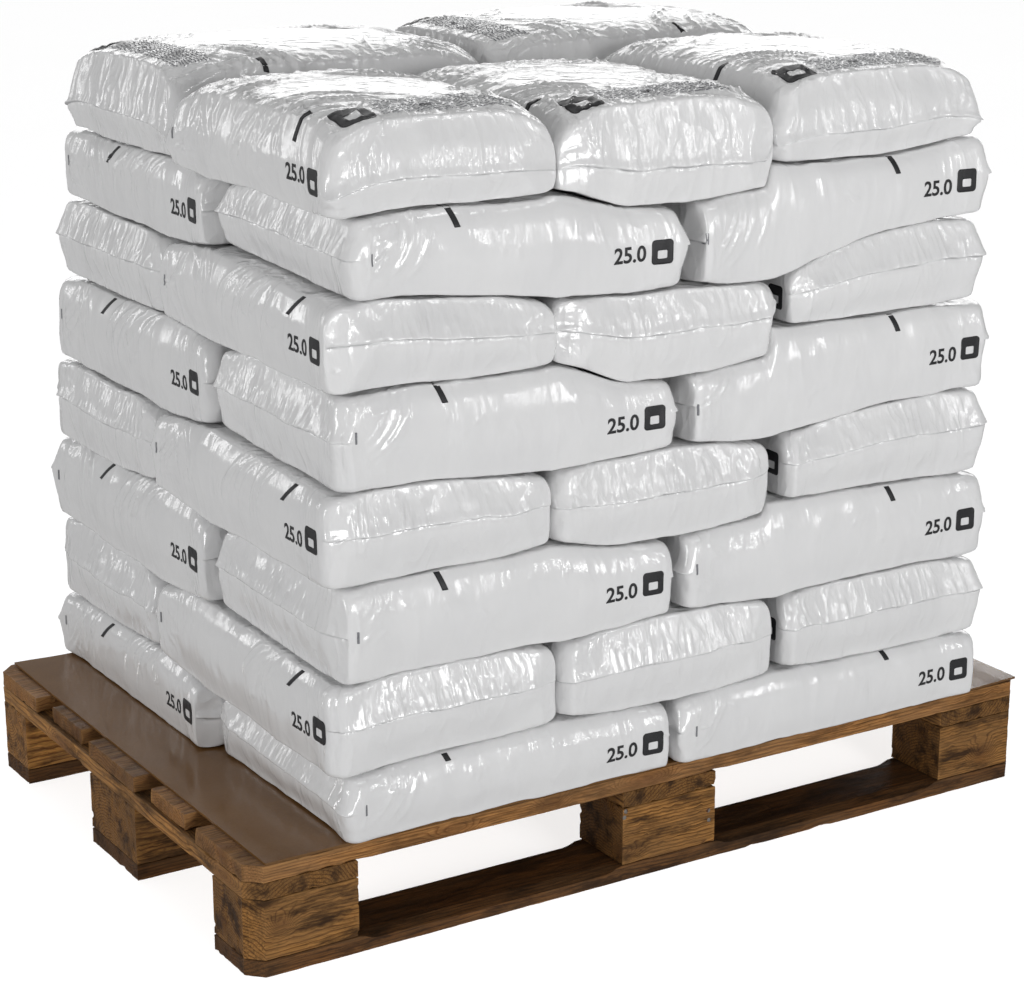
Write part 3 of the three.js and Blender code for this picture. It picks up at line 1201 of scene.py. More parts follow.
@dataclass(frozen=True)
class Fold:
    """One fold in the film: a line of points, how wide and high it is, and how it dies out."""

    line: np.ndarray
    width: float
    height: float
    fade: float = 0.3

    def lift(self, points: np.ndarray) -> np.ndarray:
        """Says how far the fold lifts each point.

        Args:
            points: Rows of x, y, z in the fold's frame.

        Returns:
            The lift in millimetres, below zero beside a ridge.
        """
        margin = self.width * 4
        near = np.all((points > self.line.min(0) - margin) & (points < self.line.max(0) + margin), axis=1)
        out = np.zeros(len(points))
        if not near.any():
            return out
        subset = points[near]
        steps = np.diff(self.line, axis=0)
        lengths = np.maximum(np.linalg.norm(steps, axis=1), 1e-6)
        travelled = np.concatenate([[0], np.cumsum(lengths)])
        best = np.full(len(subset), np.inf)
        place = np.zeros(len(subset))
        for start, step, length, before in zip(self.line, steps, lengths, travelled):
            share = np.clip(((subset - start) @ step) / length ** 2, 0, 1)
            distance = np.linalg.norm(subset - start - share[:, None] * step, axis=1)
            closer = distance < best
            best = np.where(closer, distance, best)
            place = np.where(closer, (before + share * length) / travelled[-1], place)
        reach = best / self.width
        profile = 1.35 * np.exp(-reach ** 2) - 0.35 * np.exp(-(reach / 2.1) ** 2)
        ends = np.minimum(place, 1 - place) / max(self.fade, 1e-3)
        out[near] = self.height * profile * smooth_step(0, 1, ends)
        return out


HALVES = (0.0, 0.5, 1.0)


@dataclass
class Sack:
    """One sack of the load, in its own frame: x along the sack, y across it, z up.

    open_sides are the sides that nothing hides, such as (0, 1) for the end at +x and (1, -1)
    for the long side at -y; near_sides are those of them that face the camera.
    """

    node: str
    size: SackSize
    film: PressedFilm
    seed: int
    middle: np.ndarray
    half: np.ndarray
    crosswise: bool
    open_sides: list[tuple[int, int]]
    near_sides: list[tuple[int, int]]
    top: bool
    slims: dict[tuple[int, int], float] = field(default_factory=dict)

    def __post_init__(self) -> None:
        """Draws what makes this sack differ from the others."""
        self.rng = np.random.default_rng(self.seed)
        self.pressing = list(Pressing)[int(self.rng.integers(len(Pressing)))]
        self.flips = np.array([*self.rng.choice([-1.0, 1.0], 2), 1.0])
        self.height = 2 * self.half[2]
        share = self.size.top_seal_height if self.top else self.size.seal_height
        self.seal = self.height * (share + self.rng.uniform(-0.03, 0.03))
        self.seal_tilt = self.rng.uniform(-3.0, 3.0)
        corners = [(x, y) for x in (-1, 1) for y in (-1, 1)]
        self.styles = {c: Corner.CHAMFER if self.rng.random() < 0.2 else Corner.ROUND for c in corners}
        # A tucked corner has a flat three-cornered facet; the others run out to a small ear at the seal
        self.tucks = {c: (self.rng.uniform(7, 14), self.rng.uniform(30, 52))
                      for c in corners if self.rng.random() < 0.45}
        self.thinning = {c: self.rng.uniform(0.03, 0.09) for c in corners}
        for corner in corners:
            # Where two sacks of a row meet, their corners leave a dark little gap
            beside = [(0, corner[0]), (1, corner[1])]
            if sum(side in self.open_sides for side in beside) == 1:
                self.thinning[corner] = self.rng.uniform(0.06, 0.14)
        if len(self.near_sides) == 2:
            # The load's near corner is filled out to its edge
            self.thinning[self.near_corner] = self.rng.uniform(0.02, 0.06)
        self.bellies = {(a, s): self.rng.uniform(1.0, 4.0) for a in (0, 1) for s in (-1, 1)}

    @property
    def near_corner(self) -> tuple[int, int]:
        """The corner between the two sides that face the camera."""
        signs = dict(self.near_sides)
        return signs[0], signs[1]

    def side_places(self, axis: int, step: float | None) -> np.ndarray:
        """Gives the places of the net's uprights along one side, from -1 to 1.

        Args:
            axis: 0 for a side that runs along x, 1 for one that runs along y.
            step: Millimetres between the uprights, or None for a side that is hidden.

        Returns:
            Rising numbers without the last corner.
        """
        length = 2 * self.half[axis]
        if step:
            return np.linspace(-1, 1, int(round(length / step)) + 1)[:-1]
        near = np.arange(0, self.size.near_corner, self.size.corner_step)
        rest = np.linspace(self.size.near_corner, length - self.size.near_corner,
                           int((length - 2 * self.size.near_corner) / self.size.rest_step) + 1)
        places = np.concatenate([near, rest, length - near[::-1]])
        return (places / length * 2 - 1)[:-1]

    def step_of(self, side: tuple[int, int]) -> float | None:
        """Gives the distance of the net's uprights on a side.

        Args:
            side: The axis and sign of the side.

        Returns:
            The distance in millimetres.
        """
        if self.top:
            return self.size.top_step
        if side in self.near_sides:
            return self.size.fine_step
        return self.size.plain_step if side in self.open_sides else None

    def outline(self) -> np.ndarray:
        """Gives the net's uprights once round the sack, as x and y from -1 to 1.

        Returns:
            A row for each upright.
        """
        sides = [((1, -1), 0, 1), ((0, 1), 1, 1), ((1, 1), 0, -1), ((0, -1), 1, -1)]
        rows = []
        for (normal_axis, sign), axis, way in sides:
            places = self.side_places(axis, self.step_of((normal_axis, sign))) * way
            points = np.zeros((len(places), 2))
            points[:, axis] = places
            points[:, normal_axis] = sign
            rows.append(points)
        return np.concatenate(rows)

    def rows(self) -> np.ndarray:
        """Gives the heights of the net's rows on the sides, in millimetres, close at the seal.

        Returns:
            Rising heights from the sack's middle.
        """
        step = self.size.fine_row if self.near_sides or self.top else self.size.plain_step
        even = np.linspace(0, self.height, int(round(self.height / step)) + 1)
        close = self.seal + np.array([-5.0, -3.2, -1.8, -0.8, 0.2, 1.2, 2.6, 4.4])
        apart = np.abs(even[:, None] - close[None, :]).min(1) > 1.6
        keep = even[apart | (even < 1) | (even > self.height - 1)]
        return np.sort(np.concatenate([keep, close])) - self.half[2]

    def net(self) -> tuple[np.ndarray, list]:
        """Makes the net of the closed film.

        Returns:
            Points on the faces of the plain block, in millimetres, and faces.
        """
        outline = self.outline()
        count = len(outline)
        half = self.half
        rim = np.array([3.0, 6.0, 9.0, 13.0, 20.0, 32.0, 50.0])
        rings: list[tuple[np.ndarray, np.ndarray]] = []
        every = np.arange(count)
        coarse = every[::4]

        def ring(inset: float, z: float, numbers: np.ndarray) -> None:
            """Adds a ring of the numbered uprights, so far in and so high."""
            flat = outline[numbers] * (half[:2] - inset)
            rings.append((np.column_stack([flat, np.full(len(flat), z)]), numbers))

        ring(half[1] * 0.8, -half[2], coarse)
        for inset in rim[::-1]:
            ring(inset, -half[2], every if inset < 25 else coarse)
        for z in self.rows():
            ring(0.0, z, every)
        top_rim = rim[:4] if self.top else rim
        for inset in top_rim:
            ring(inset, half[2], every if inset < 25 else coarse)
        if not self.top:
            ring(half[1] * 0.8, half[2], coarse)

        points = np.concatenate([r[0] for r in rings])
        starts = np.concatenate([[0], np.cumsum([len(r[0]) for r in rings])])
        faces: list[tuple[int, ...]] = []
        for level in range(len(rings) - 1):
            low, high = starts[level], starts[level + 1]
            low_numbers, high_numbers = rings[level][1], rings[level + 1][1]
            if len(low_numbers) == len(high_numbers):
                total = len(low_numbers)
                faces += [(low + i, low + (i + 1) % total, high + (i + 1) % total, high + i)
                          for i in range(total)]
            else:
                faces += self.change_of_count(low, high, low_numbers, high_numbers, count)
        faces.append(tuple(range(starts[1] - 1, -1, -1)))
        if self.top:
            points, faces = self.close_top(points, faces, starts[-2], outline, float(top_rim[-1]))
        else:
            faces.append(tuple(range(starts[-2], starts[-1])))
        return points, faces

    @staticmethod
    def change_of_count(low: int, high: int, low_numbers: np.ndarray, high_numbers: np.ndarray,
                        count: int) -> list[tuple[int, ...]]:
        """Joins a ring of all uprights to one of every fourth.

        Args:
            low: First vertex of the lower ring.
            high: First vertex of the upper ring.
            low_numbers: Uprights of the lower ring.
            high_numbers: Uprights of the upper ring.
            count: Number of all uprights.

        Returns:
            One many-sided face for each step of the coarser ring.
        """
        coarse_below = len(low_numbers) < len(high_numbers)
        coarse = low_numbers if coarse_below else high_numbers
        faces = []
        for i, first in enumerate(coarse):
            following = (i + 1) % len(coarse)
            last = coarse[following] if following else count
            fine = [n % count for n in range(first, last + 1)]
            if coarse_below:
                faces.append((low + i, low + following, *[high + n for n in reversed(fine)]))
            else:
                faces.append((*[low + n for n in fine], high + following, high + i))
        return faces

    def close_top(self, points: np.ndarray, faces: list, last_ring: int, outline: np.ndarray,
                  inset: float) -> tuple[np.ndarray, list]:
        """Fills the top of a sack that shows from above with an even grid.

        Args:
            points: All points so far.
            faces: All faces so far.
            last_ring: First vertex of the innermost ring.
            outline: The net's uprights.
            inset: How far in that ring lies.

        Returns:
            The points and faces with the grid.
        """
        along = int(np.sum(outline[:, 1] == -1))
        across = (len(outline) - 2 * along) // 2
        grid = np.full((along + 1, across + 1), -1, dtype=int)
        count = len(outline)
        for i in range(along):
            grid[i, 0] = last_ring + i
            grid[along - i, across] = last_ring + along + across + i
        for j in range(across):
            grid[along, j] = last_ring + along + j
            grid[0, across - j] = last_ring + (2 * along + across + j) % count
        inner = []
        for i in range(1, along):
            for j in range(1, across):
                grid[i, j] = len(points) + len(inner)
                inner.append(((2 * i / along - 1) * (self.half[0] - inset),
                              (2 * j / across - 1) * (self.half[1] - inset), self.half[2]))
        for i in range(along):
            for j in range(across):
                faces.append((grid[i, j], grid[i + 1, j], grid[i + 1, j + 1], grid[i, j + 1]))
        return np.concatenate([points, np.array(inner)]), faces

    def chart(self, axis: int, sign: int, along: float, up: float) -> list[float]:
        """Gives the point of a side that lies along mm right of its middle, seen from outside.

        Args:
            axis: 0 for an end, 1 for a long side.
            sign: Which of the two.
            along: Millimetres to the right of the side's middle.
            up: Millimetres above the underside.

        Returns:
            x, y, z in the sack's frame.
        """
        if axis == 0:
            return [sign * self.half[0], sign * along, up - self.half[2]]
        return [-sign * along, sign * self.half[1], up - self.half[2]]

    def on_side(self, axis: int, sign: int, spots: list[tuple[float, float]]) -> np.ndarray:
        """Gives the points of a side that lie along and up at the spots, as chart does."""
        return np.array([self.chart(axis, sign, along, up) for along, up in spots])

    def on_block(self, sx: int, sy: int, from_end: float, over_edge: float) -> list[float]:
        """Gives a point near a corner on a long side or, past its upper edge, on the top.

        Args:
            sx: Which end.
            sy: Which long side.
            from_end: Millimetres from that end along the sack.
            over_edge: Millimetres past the upper edge onto the top, or below it if negative.

        Returns:
            x, y, z in the sack's frame.
        """
        x = sx * (self.half[0] - from_end)
        if over_edge > 0:
            return [x, sy * (self.half[1] - over_edge), self.half[2]]
        return [x, sy * self.half[1], self.half[2] + over_edge]

    def bent_over(self, line: list[list[float]]) -> np.ndarray:
        """Lays a line of points of the plain block round its edges and corners."""
        return shape_block(np.array(line), self.half, self.size.edge, self.size.corner, {})[0]

    def end_folds(self, sign: int) -> list[Fold]:
        """Draws the upright ripples over the seal of one end and the folds at its corners.

        Args:
            sign: Which end.

        Returns:
            The folds.
        """
        rng, folds = self.rng, []
        reach = self.half[1] - 24
        above = self.height - self.seal
        place = -reach + rng.uniform(0, 12)
        busy = rng.uniform(-0.6, 0.6) * reach
        while place < reach:
            # Ripples crowd round one part of the seal and get shorter away from it
            crowd = math.exp(-((place - busy) / 75.0) ** 2)
            size = rng.uniform(0.1, 1.0) ** 1.6 * (0.45 + 0.75 * crowd)
            bottom = self.seal + rng.uniform(0.5, 3)
            top = bottom + min(9 + 34 * size, 0.85 * above)
            lean = rng.normal(0, 3)
            line = self.on_side(0, sign, [(place + lean * t, bottom + (top - bottom) * t)
                                          for t in np.linspace(-0.25, 1, 5)])
            folds.append(Fold(line, rng.uniform(1.6, 2.6), 0.9 + 2.2 * size, 0.35))
            place += rng.uniform(5, 11) + (1 - crowd) * rng.uniform(3, 20)
        place = -reach + rng.uniform(0, 20)
        while place < reach:
            drop, lean = rng.uniform(9, 0.55 * above), rng.normal(0, 5)
            line = self.on_side(0, sign, [(place + lean * t, self.height - 1 - drop * t) for t in HALVES])
            folds.append(Fold(line, rng.uniform(1.7, 2.8), rng.uniform(0.6, 1.9), 0.5))
            place += rng.uniform(7, 26)
        for _ in range(3):
            start = rng.uniform(-reach, reach)
            drop = rng.uniform(10, 26)
            line = self.on_side(0, sign, [(start + drop * 0.8 * t, self.seal - 4 - drop * t) for t in HALVES])
            folds.append(Fold(line, rng.uniform(3, 5), rng.uniform(-0.7, 0.7), 0.5))
        for edge in (-1, 1):
            for number in range(3):
                start = edge * (self.half[1] - 8 - 9 * number - rng.uniform(0, 5))
                line = self.on_side(0, sign, [
                    (start - edge * rng.uniform(8, 22) * t,
                     self.height - 4 - (above - 8) * t * rng.uniform(0.7, 1.0)) for t in (0.0, 0.45, 1.0)])
                folds.append(Fold(line, rng.uniform(2.0, 3.4), rng.uniform(0.4, 1.3), 0.4))
        return folds + self.corner_creases(sign)

    def corner_creases(self, sign: int) -> list[Fold]:
        """Draws the sharp upright crease of each corner of one end, and short wrinkles that run into it.

        Args:
            sign: Which end.

        Returns:
            The folds.
        """
        rng, folds = np.random.default_rng(self.seed * 13 + sign), []
        for edge in (-1, 1):
            bow = rng.uniform(-2.0, 2.0)
            line = self.on_side(0, sign, [(edge * (self.half[1] - 3 - bow * math.sin(math.pi * t)),
                                           7 + (self.height - 20) * t) for t in np.linspace(0, 1, 6)])
            folds.append(Fold(line, rng.uniform(1.7, 2.4), rng.uniform(1.0, 2.4), 0.25))
            for _ in range(5):
                up, length = rng.uniform(0.12, 0.9) * self.height, rng.uniform(12, 34)
                slope = rng.uniform(-0.9, 0.9)
                line = self.on_side(0, sign, [
                    (edge * (self.half[1] - 4 - length * t), up + length * slope * t) for t in HALVES])
                folds.append(Fold(line, rng.uniform(1.7, 2.6), rng.uniform(0.7, 1.8), 0.5))
        return folds

    def arcs(self, sx: int, sy: int, radii: np.ndarray, onto_top: bool) -> list[Fold]:
        """Draws tension folds as arcs round an upper corner, down the long side and over its edge.

        Args:
            sx: Which end.
            sy: Which long side.
            radii: The arcs' radii in millimetres.
            onto_top: Whether they run on over the top.

        Returns:
            The folds.
        """
        rng, folds = self.rng, []
        for radius in radii:
            start = rng.uniform(0.02, 0.2) * math.pi if onto_top else rng.uniform(0.42, 0.5) * math.pi
            lowest = min(1.0, (self.height - 6) / radius)
            stop = math.pi / 2 + math.asin(lowest) * rng.uniform(0.65, 1)
            squash = rng.uniform(0.85, 1.1)
            line = self.bent_over([self.on_block(sx, sy, radius * math.sin(t) * squash, radius * math.cos(t))
                                   for t in np.linspace(start, stop, 12)])
            high = rng.uniform(1.2, 3.2) if onto_top else rng.uniform(0.9, 2.6)
            folds.append(Fold(line, rng.uniform(1.9, 3.2), high, rng.uniform(0.25, 0.45)))
        return folds

    def fan(self, sx: int, sy: int, first: float, count: int) -> list[Fold]:
        """Draws close curved folds that come over the shoulder of a long side and turn down it.

        Args:
            sx: The end that they curve round.
            sy: Which long side.
            first: Millimetres from that end to the first one.
            count: How many.

        Returns:
            The folds.
        """
        rng, folds = self.rng, []
        place = first
        for _ in range(count):
            curl, drop = rng.uniform(45, 80), rng.uniform(0.45, 0.95) * (self.height - 14)
            over = rng.uniform(4, 26)
            line = self.bent_over([
                self.on_block(sx, sy, place + curl * math.sin(math.pi / 2 * s) - 0.25 * curl * s * s,
                              over - (over + drop) * s) for s in np.linspace(0, 1, 9)])
            folds.append(Fold(line, rng.uniform(2.0, 3.2), rng.uniform(1.4, 3.2), rng.uniform(0.2, 0.4)))
            place += rng.uniform(7, 15)
        return folds

    def bunch(self, sign: int, count: int) -> list[Fold]:
        """Draws a bunch of short parallel strokes somewhere on a long side.

        Args:
            sign: Which long side.
            count: How many strokes.

        Returns:
            The folds.
        """
        rng = self.rng
        along = rng.uniform(-0.85, 0.85) * self.half[0]
        up = rng.uniform(0.35, 0.8) * self.height
        angle = math.radians(rng.uniform(35, 80)) * rng.choice([-1, 1])
        way = np.array([math.cos(angle), math.sin(angle)])
        folds = []
        for number in range(count):
            length = rng.uniform(10, 24)
            start = np.array([along + number * rng.uniform(5, 8), up + rng.uniform(-5, 5)]) - way * length / 2
            line = self.on_side(1, sign, [start + way * length * t for t in HALVES])
            folds.append(Fold(line, rng.uniform(1.7, 2.6), rng.uniform(0.8, 1.8), 0.45))
        return folds

    def side_folds(self, sign: int) -> list[Fold]:
        """Draws the bowed creases and arcs near both ends of a long side and a few dents between them.

        Args:
            sign: Which long side.

        Returns:
            The folds.
        """
        rng, folds = self.rng, []
        for end in (-1, 1):
            for number in range(int(rng.integers(1, 4))):
                inward = 13 + 12 * number + rng.uniform(-3, 3)
                bow = rng.uniform(3, 11)
                low, high = rng.uniform(4, 22), self.height - rng.uniform(4, 16)
                line = self.on_side(1, sign, [
                    (end * (self.half[0] - inward - bow * math.sin(math.pi * t)), low + (high - low) * t)
                    for t in np.linspace(0, 1, 6)])
                weaker = 1 + 0.4 * number
                folds.append(Fold(line, rng.uniform(1.9, 3.0), rng.uniform(1.0, 2.3) / weaker, 0.35))
            for _ in range(3):
                along = end * (self.half[0] - rng.uniform(14, 40))
                up = rng.uniform(0.1, 0.9) * self.height
                length = rng.uniform(20, 60)
                slope = rng.uniform(-0.8, 0.8)
                line = self.on_side(1, sign, [(along - end * length * t, up + length * slope * t)
                                              for t in (0.0, 0.4, 0.7, 1.0)])
                folds.append(Fold(line, rng.uniform(2.0, 3.4), rng.uniform(0.7, 1.8), 0.45))
            if rng.random() < 0.6:
                first = rng.uniform(30, 60)
                radii = first + np.cumsum(rng.uniform(7, 14, int(rng.integers(3, 7))))
                folds += self.arcs(-sign * end, sign, radii, False)
        if (1, sign) in self.near_sides and self.crosswise:
            front = self.near_corner[0] if len(self.near_sides) == 2 else -1
            folds += self.fan(front, sign, rng.uniform(95, 150), int(rng.integers(7, 12)))
            folds += self.fan(-front, sign, rng.uniform(30, 60), int(rng.integers(3, 6)))
        for _ in range(3):
            folds += self.bunch(sign, int(rng.integers(2, 5)))
        for _ in range(4):
            centre = rng.uniform(-0.7, 0.7) * self.half[0]
            up = rng.uniform(0.2, 0.8) * self.height
            line = self.on_side(1, sign, [
                (centre + t * rng.uniform(14, 40), up + t * rng.uniform(-18, 18)) for t in (-1.0, 0.0, 1.0)])
            folds.append(Fold(line, rng.uniform(7, 13), rng.uniform(-0.9, 0.5), 0.5))
        return folds

    def top_folds(self) -> list[Fold]:
        """Draws the fans of folds at the corners of a crowned top and the long arcs over its shoulders.

        Returns:
            The folds.
        """
        rng, folds = self.rng, []
        hx, hy, hz = self.half
        for sx in (-1, 1):
            for sy in (-1, 1):
                first = rng.uniform(70, 90)
                folds += self.arcs(sx, sy, first + np.cumsum(rng.uniform(7, 17, 8)), True)
                corner = np.array([sx * (hx - 6), sy * (hy - 6), hz])
                for number in range(6):
                    angle = math.radians(8 + 74 * (number + rng.uniform(-0.3, 0.3)) / 5)
                    way = np.array([-sx * math.cos(angle), -sy * math.sin(angle), 0])
                    side = np.array([-way[1], way[0], 0])
                    length, bend = rng.uniform(50, 130), rng.uniform(-12, 12)
                    start = rng.uniform(4, 20)
                    line = np.array([
                        corner + way * (start + length * t) + side * bend * math.sin(math.pi * t / 2)
                        for t in np.linspace(0, 1, 5)])
                    folds.append(Fold(line, rng.uniform(2.4, 4.2), rng.uniform(1.2, 3.2), 0.4))
            for number in range(18):
                across = (number - 8.5) / 8.5 * (hy - 34) + rng.uniform(-6, 6)
                length = rng.uniform(18, 95)
                slant = rng.uniform(-8, 8)
                line = np.array([[sx * (hx - 4 - length * t), across * (1 - 0.12 * t) + slant * t, hz]
                                 for t in np.linspace(0, 1, 4)])
                folds.append(Fold(line, rng.uniform(2.2, 3.8), rng.uniform(1.0, 3.1), 0.45))
        for sy in (-1, 1):
            for _ in range(26):
                along = rng.uniform(-0.8, 0.8) * hx
                slant, low, high = rng.uniform(-30, 30), rng.uniform(10, 55), rng.uniform(18, 70)
                line = self.bent_over([
                    [along + slant * t, *self.on_block(1, sy, 0, -low + (low + high) * t)[1:]]
                    for t in np.linspace(0, 1, 9)])
                folds.append(Fold(line, rng.uniform(2.2, 4.0), rng.uniform(1.0, 3.0), 0.35))
        return folds

    def seal_lift(self, rest: np.ndarray, normal: np.ndarray) -> tuple[np.ndarray, np.ndarray]:
        """Says how far the welded seam of the ends lifts the film, and how much painted shade its crease
        gets.

        Args:
            rest: Points of the plain sack.
            normal: Their outward normals.

        Returns:
            The lift in millimetres, a lip over a step, and the share of painted shade in the crease at each
            point.
        """
        wave = lattice_noise(rest * (0, 1, 0) + (0, 0, 50), 45.0, self.seed) * 1.6
        wave += lattice_noise(rest * (0, 1, 0) + (0, 0, 90), 14.0, self.seed) * 0.5
        above = rest[:, 2] + self.half[2] - self.seal - wave - rest[:, 1] / self.half[1] * self.seal_tilt
        lip = np.where(above > 0, 3.0 * np.exp(-(above / 8.0) ** 2), -2.0 * np.exp(-np.abs(above) / 4.5))
        on_end = smooth_step(0.35, 0.8, np.abs(normal[:, 0]))
        # seam: painted shade along the seal's crease, broken in places
        broken = 0.55 + 0.6 * lattice_noise(rest * (0, 1, 0) + (0, 0, 130), 22.0, self.seed + 5)
        seam = np.exp(-((above + 0.6) / 1.3) ** 2) * np.clip(broken, 0, 1) * on_end
        return lip * on_end, seam

    def printed_area(self, rest: np.ndarray, normal: np.ndarray) -> np.ndarray:
        """Says where the long sides are printed, because the film is laid flat there, from 0 to 1.

        Args:
            rest: The film's points before any fold.
            normal: The film's outward ways.

        Returns:
            A number for each point.
        """
        from_end = self.half[0] + np.sign(rest[:, 1]) * rest[:, 0]
        printed = smooth_step(10, 24, from_end) * (1 - smooth_step(112, 138, from_end))
        return printed * smooth_step(0.4, 0.8, np.abs(normal[:, 1]))

    def level(self, rest: np.ndarray) -> tuple[np.ndarray, np.ndarray]:
        """Says how far each point lies above and below the seal, from 0 to 1 at the edges."""
        up = rest[:, 2] + self.half[2] - self.seal
        return np.clip(up / (self.height - self.seal), 0, 1), np.clip(-up / self.seal, 0, 1)

    def draw_in(self, rest: np.ndarray) -> np.ndarray:
        """Leans the ends and sides out towards the seal's level and lets each belly out a little.

        Args:
            rest: Points of the plain sack.

        Returns:
            The points in their leaning sides.
        """
        above, below = self.level(rest)
        out = rest.copy()
        half = self.half
        end = self.size.end_draw[0] * above ** 1.25 + self.size.end_draw[1] * below ** 1.25
        side = self.size.side_draw * (above ** 2.6 + below ** 2.6) + self.size.shoulder_draw * above ** 5
        out[:, 0] *= 1 - end / half[0]
        out[:, 1] *= 1 - side / half[1]
        waist = 1 - 0.6 * (above ** 3 + below ** 3)
        for (axis, sign), belly in self.bellies.items():
            other = 1 - axis
            across = np.clip(1 - (rest[:, other] / half[other]) ** 2, 0, 1)
            share = np.clip(sign * rest[:, axis] / half[axis], 0, 1) ** 6
            out[:, axis] += sign * (belly * across - 0.5) * waist * share
        tent = np.clip(1 - 1.7 * (above + below), 0, 1)
        for sx, sy in self.thinning:
            if (sx, sy) in self.tucks:
                continue
            inset = half[:2] - rest[:, :2] * (sx, sy)
            near = np.clip(1 - inset / 26, 0, 1).prod(1) * (inset > -1).all(1)
            out[:, :2] += near[:, None] * tent[:, None] * self.size.ear * np.array([sx, sy])
        return out

    def tuck_corners(self, place: np.ndarray, rest: np.ndarray) -> np.ndarray:
        """Flattens the three-cornered facets whose base is the upright corner and whose tip is on the seal.

        Args:
            place: Points of the film in the sack's frame.
            rest: Where they are on the plain sack.

        Returns:
            The points with the facets.
        """
        out = place.copy()
        for (sx, sy), (depth, reach) in self.tucks.items():
            inset = self.half[1] - sy * rest[:, 1]
            limit = self.half[0] - depth * (1 - inset / reach)
            over = sx * out[:, 0] - limit
            push = np.where(over > -1.5, (over + np.sqrt(over ** 2 + 0.36)) / 2, 0)
            near = (sx * rest[:, 0] > 0) & (inset < reach)
            out[:, 0] -= np.where(near, sx * push, 0)
        return out

    def shape(self, block: np.ndarray) -> tuple[np.ndarray, np.ndarray, np.ndarray, np.ndarray]:
        """Shapes points of the plain block into the filled and creased sack.

        Args:
            block: Points on the plain block's faces, in millimetres.

        Returns:
            The film's points in the sack's frame, their places on the plain rounded sack, how much
            painted shade the seal's crease gives each and how taut the film is there, both from 0 to 1.
        """
        size = self.size
        rest, normal = shape_block(block, self.half, size.edge, size.corner, self.styles)
        moved = self.film.read(self.pressing, block / self.half, self.flips)
        from_corner = (self.half[:2] - np.abs(block[:, :2])).max(1)
        middle = smooth_step(8, 75, from_corner)
        room = size.press_bulge * middle - size.corner_fill * (1 - middle)
        moved -= normal * room[:, None] * (1 - normal[:, 2:] ** 2)
        moved[:, 2] *= size.press_rise
        lift, seam = self.seal_lift(rest, normal)
        folds: list[Fold] = []
        for axis, sign in ((0, -1), (0, 1), (1, -1), (1, 1)):
            drawn = self.end_folds(sign) if axis == 0 else self.side_folds(sign)
            if self.top or (axis, sign) in self.open_sides:
                folds += drawn
        if self.top:
            folds += self.top_folds()
        height, cell = size.wander
        wander = np.column_stack([lattice_noise(rest, cell, self.seed + 40 + i) for i in range(3)])
        bent = rest + wander * height
        for fold in folds:
            lift += fold.lift(bent)
        printed = self.printed_area(rest, normal)
        lift *= 1 - size.printed_calm[0] * printed
        lift += size.swell[0] * lattice_noise(rest, size.swell[1], self.seed + 7)
        dents = size.dents[0] * lattice_noise(rest * (1, 1, 0.7), size.dents[1], self.seed + 8)
        puckers = size.puckers[0] * lattice_noise(rest * (1, 1, 0.6), size.puckers[1], self.seed + 9)
        lift += (1 - size.printed_calm[1] * printed) * (dents + puckers)
        film = self.tuck_corners(self.draw_in(rest) + moved, rest) + normal * lift[:, None]
        taut = smooth_step(0.3, 0.8, np.abs(normal[:, 1])) * smooth_step(20, 110, from_corner)
        if self.top:
            # Nothing presses on the top film, so it stays crumpled
            taut -= 1.8 * smooth_step(0.1, 0.6, normal[:, 2])
        return film, rest, seam, taut

    def thin_corners(self, film: np.ndarray, share: np.ndarray) -> np.ndarray:
        """Brings the upper and lower film together towards each corner.

        Args:
            film: Points of the film in the sack's frame.
            share: How high they lie, from 0 on the underside to 1 on the top.

        Returns:
            The new shares.
        """
        seal = self.seal / self.height
        inset = np.clip(self.half[:2] - np.abs(film[:, :2]), 0, None)
        near = np.clip(1 - inset.sum(1) / self.size.corner_reach, 0, 1) ** 1.4
        amount = np.zeros(len(film))
        for (sx, sy), thinning in self.thinning.items():
            here = (film[:, 0] * sx > 0) & (film[:, 1] * sy > 0)
            amount = np.where(here, thinning * near, amount)
        on_sheet = self.node.startswith("sack_1_")
        amount = np.where(on_sheet & (share < seal), 0.0, amount)
        return seal + (share - seal) * (1 - amount)

    def keep_clear(self, film: np.ndarray) -> np.ndarray:
        """Holds the film back from the neighbours on its closed sides.

        Args:
            film: Points of the film in the sack's frame.

        Returns:
            The points after it.
        """
        out = film.copy()
        for (axis, sign), slim in self.slims.items():
            share = np.clip(sign * film[:, axis] / self.half[axis], 0, None)
            out[:, axis] -= sign * slim * share ** 3
        for axis in (0, 1):
            for sign in (-1, 1):
                is_open = (axis, sign) in self.open_sides
                limit = self.half[axis] + (self.size.open_room if is_open else self.size.closed_room)
                out[:, axis] = np.where(out[:, axis] * sign > limit, limit * sign, out[:, axis])
        return out

    def to_pallet(self, film: np.ndarray) -> np.ndarray:
        """Turns points of the sack's frame into the pallet's, apart from their height.

        Args:
            film: Points of the film in the sack's frame.

        Returns:
            Rows of x and y in the pallet's frame.
        """
        if self.crosswise:
            flat = np.column_stack([-film[:, 1], film[:, 0]])
        else:
            flat = film[:, :2]
        return flat + self.middle[:2]


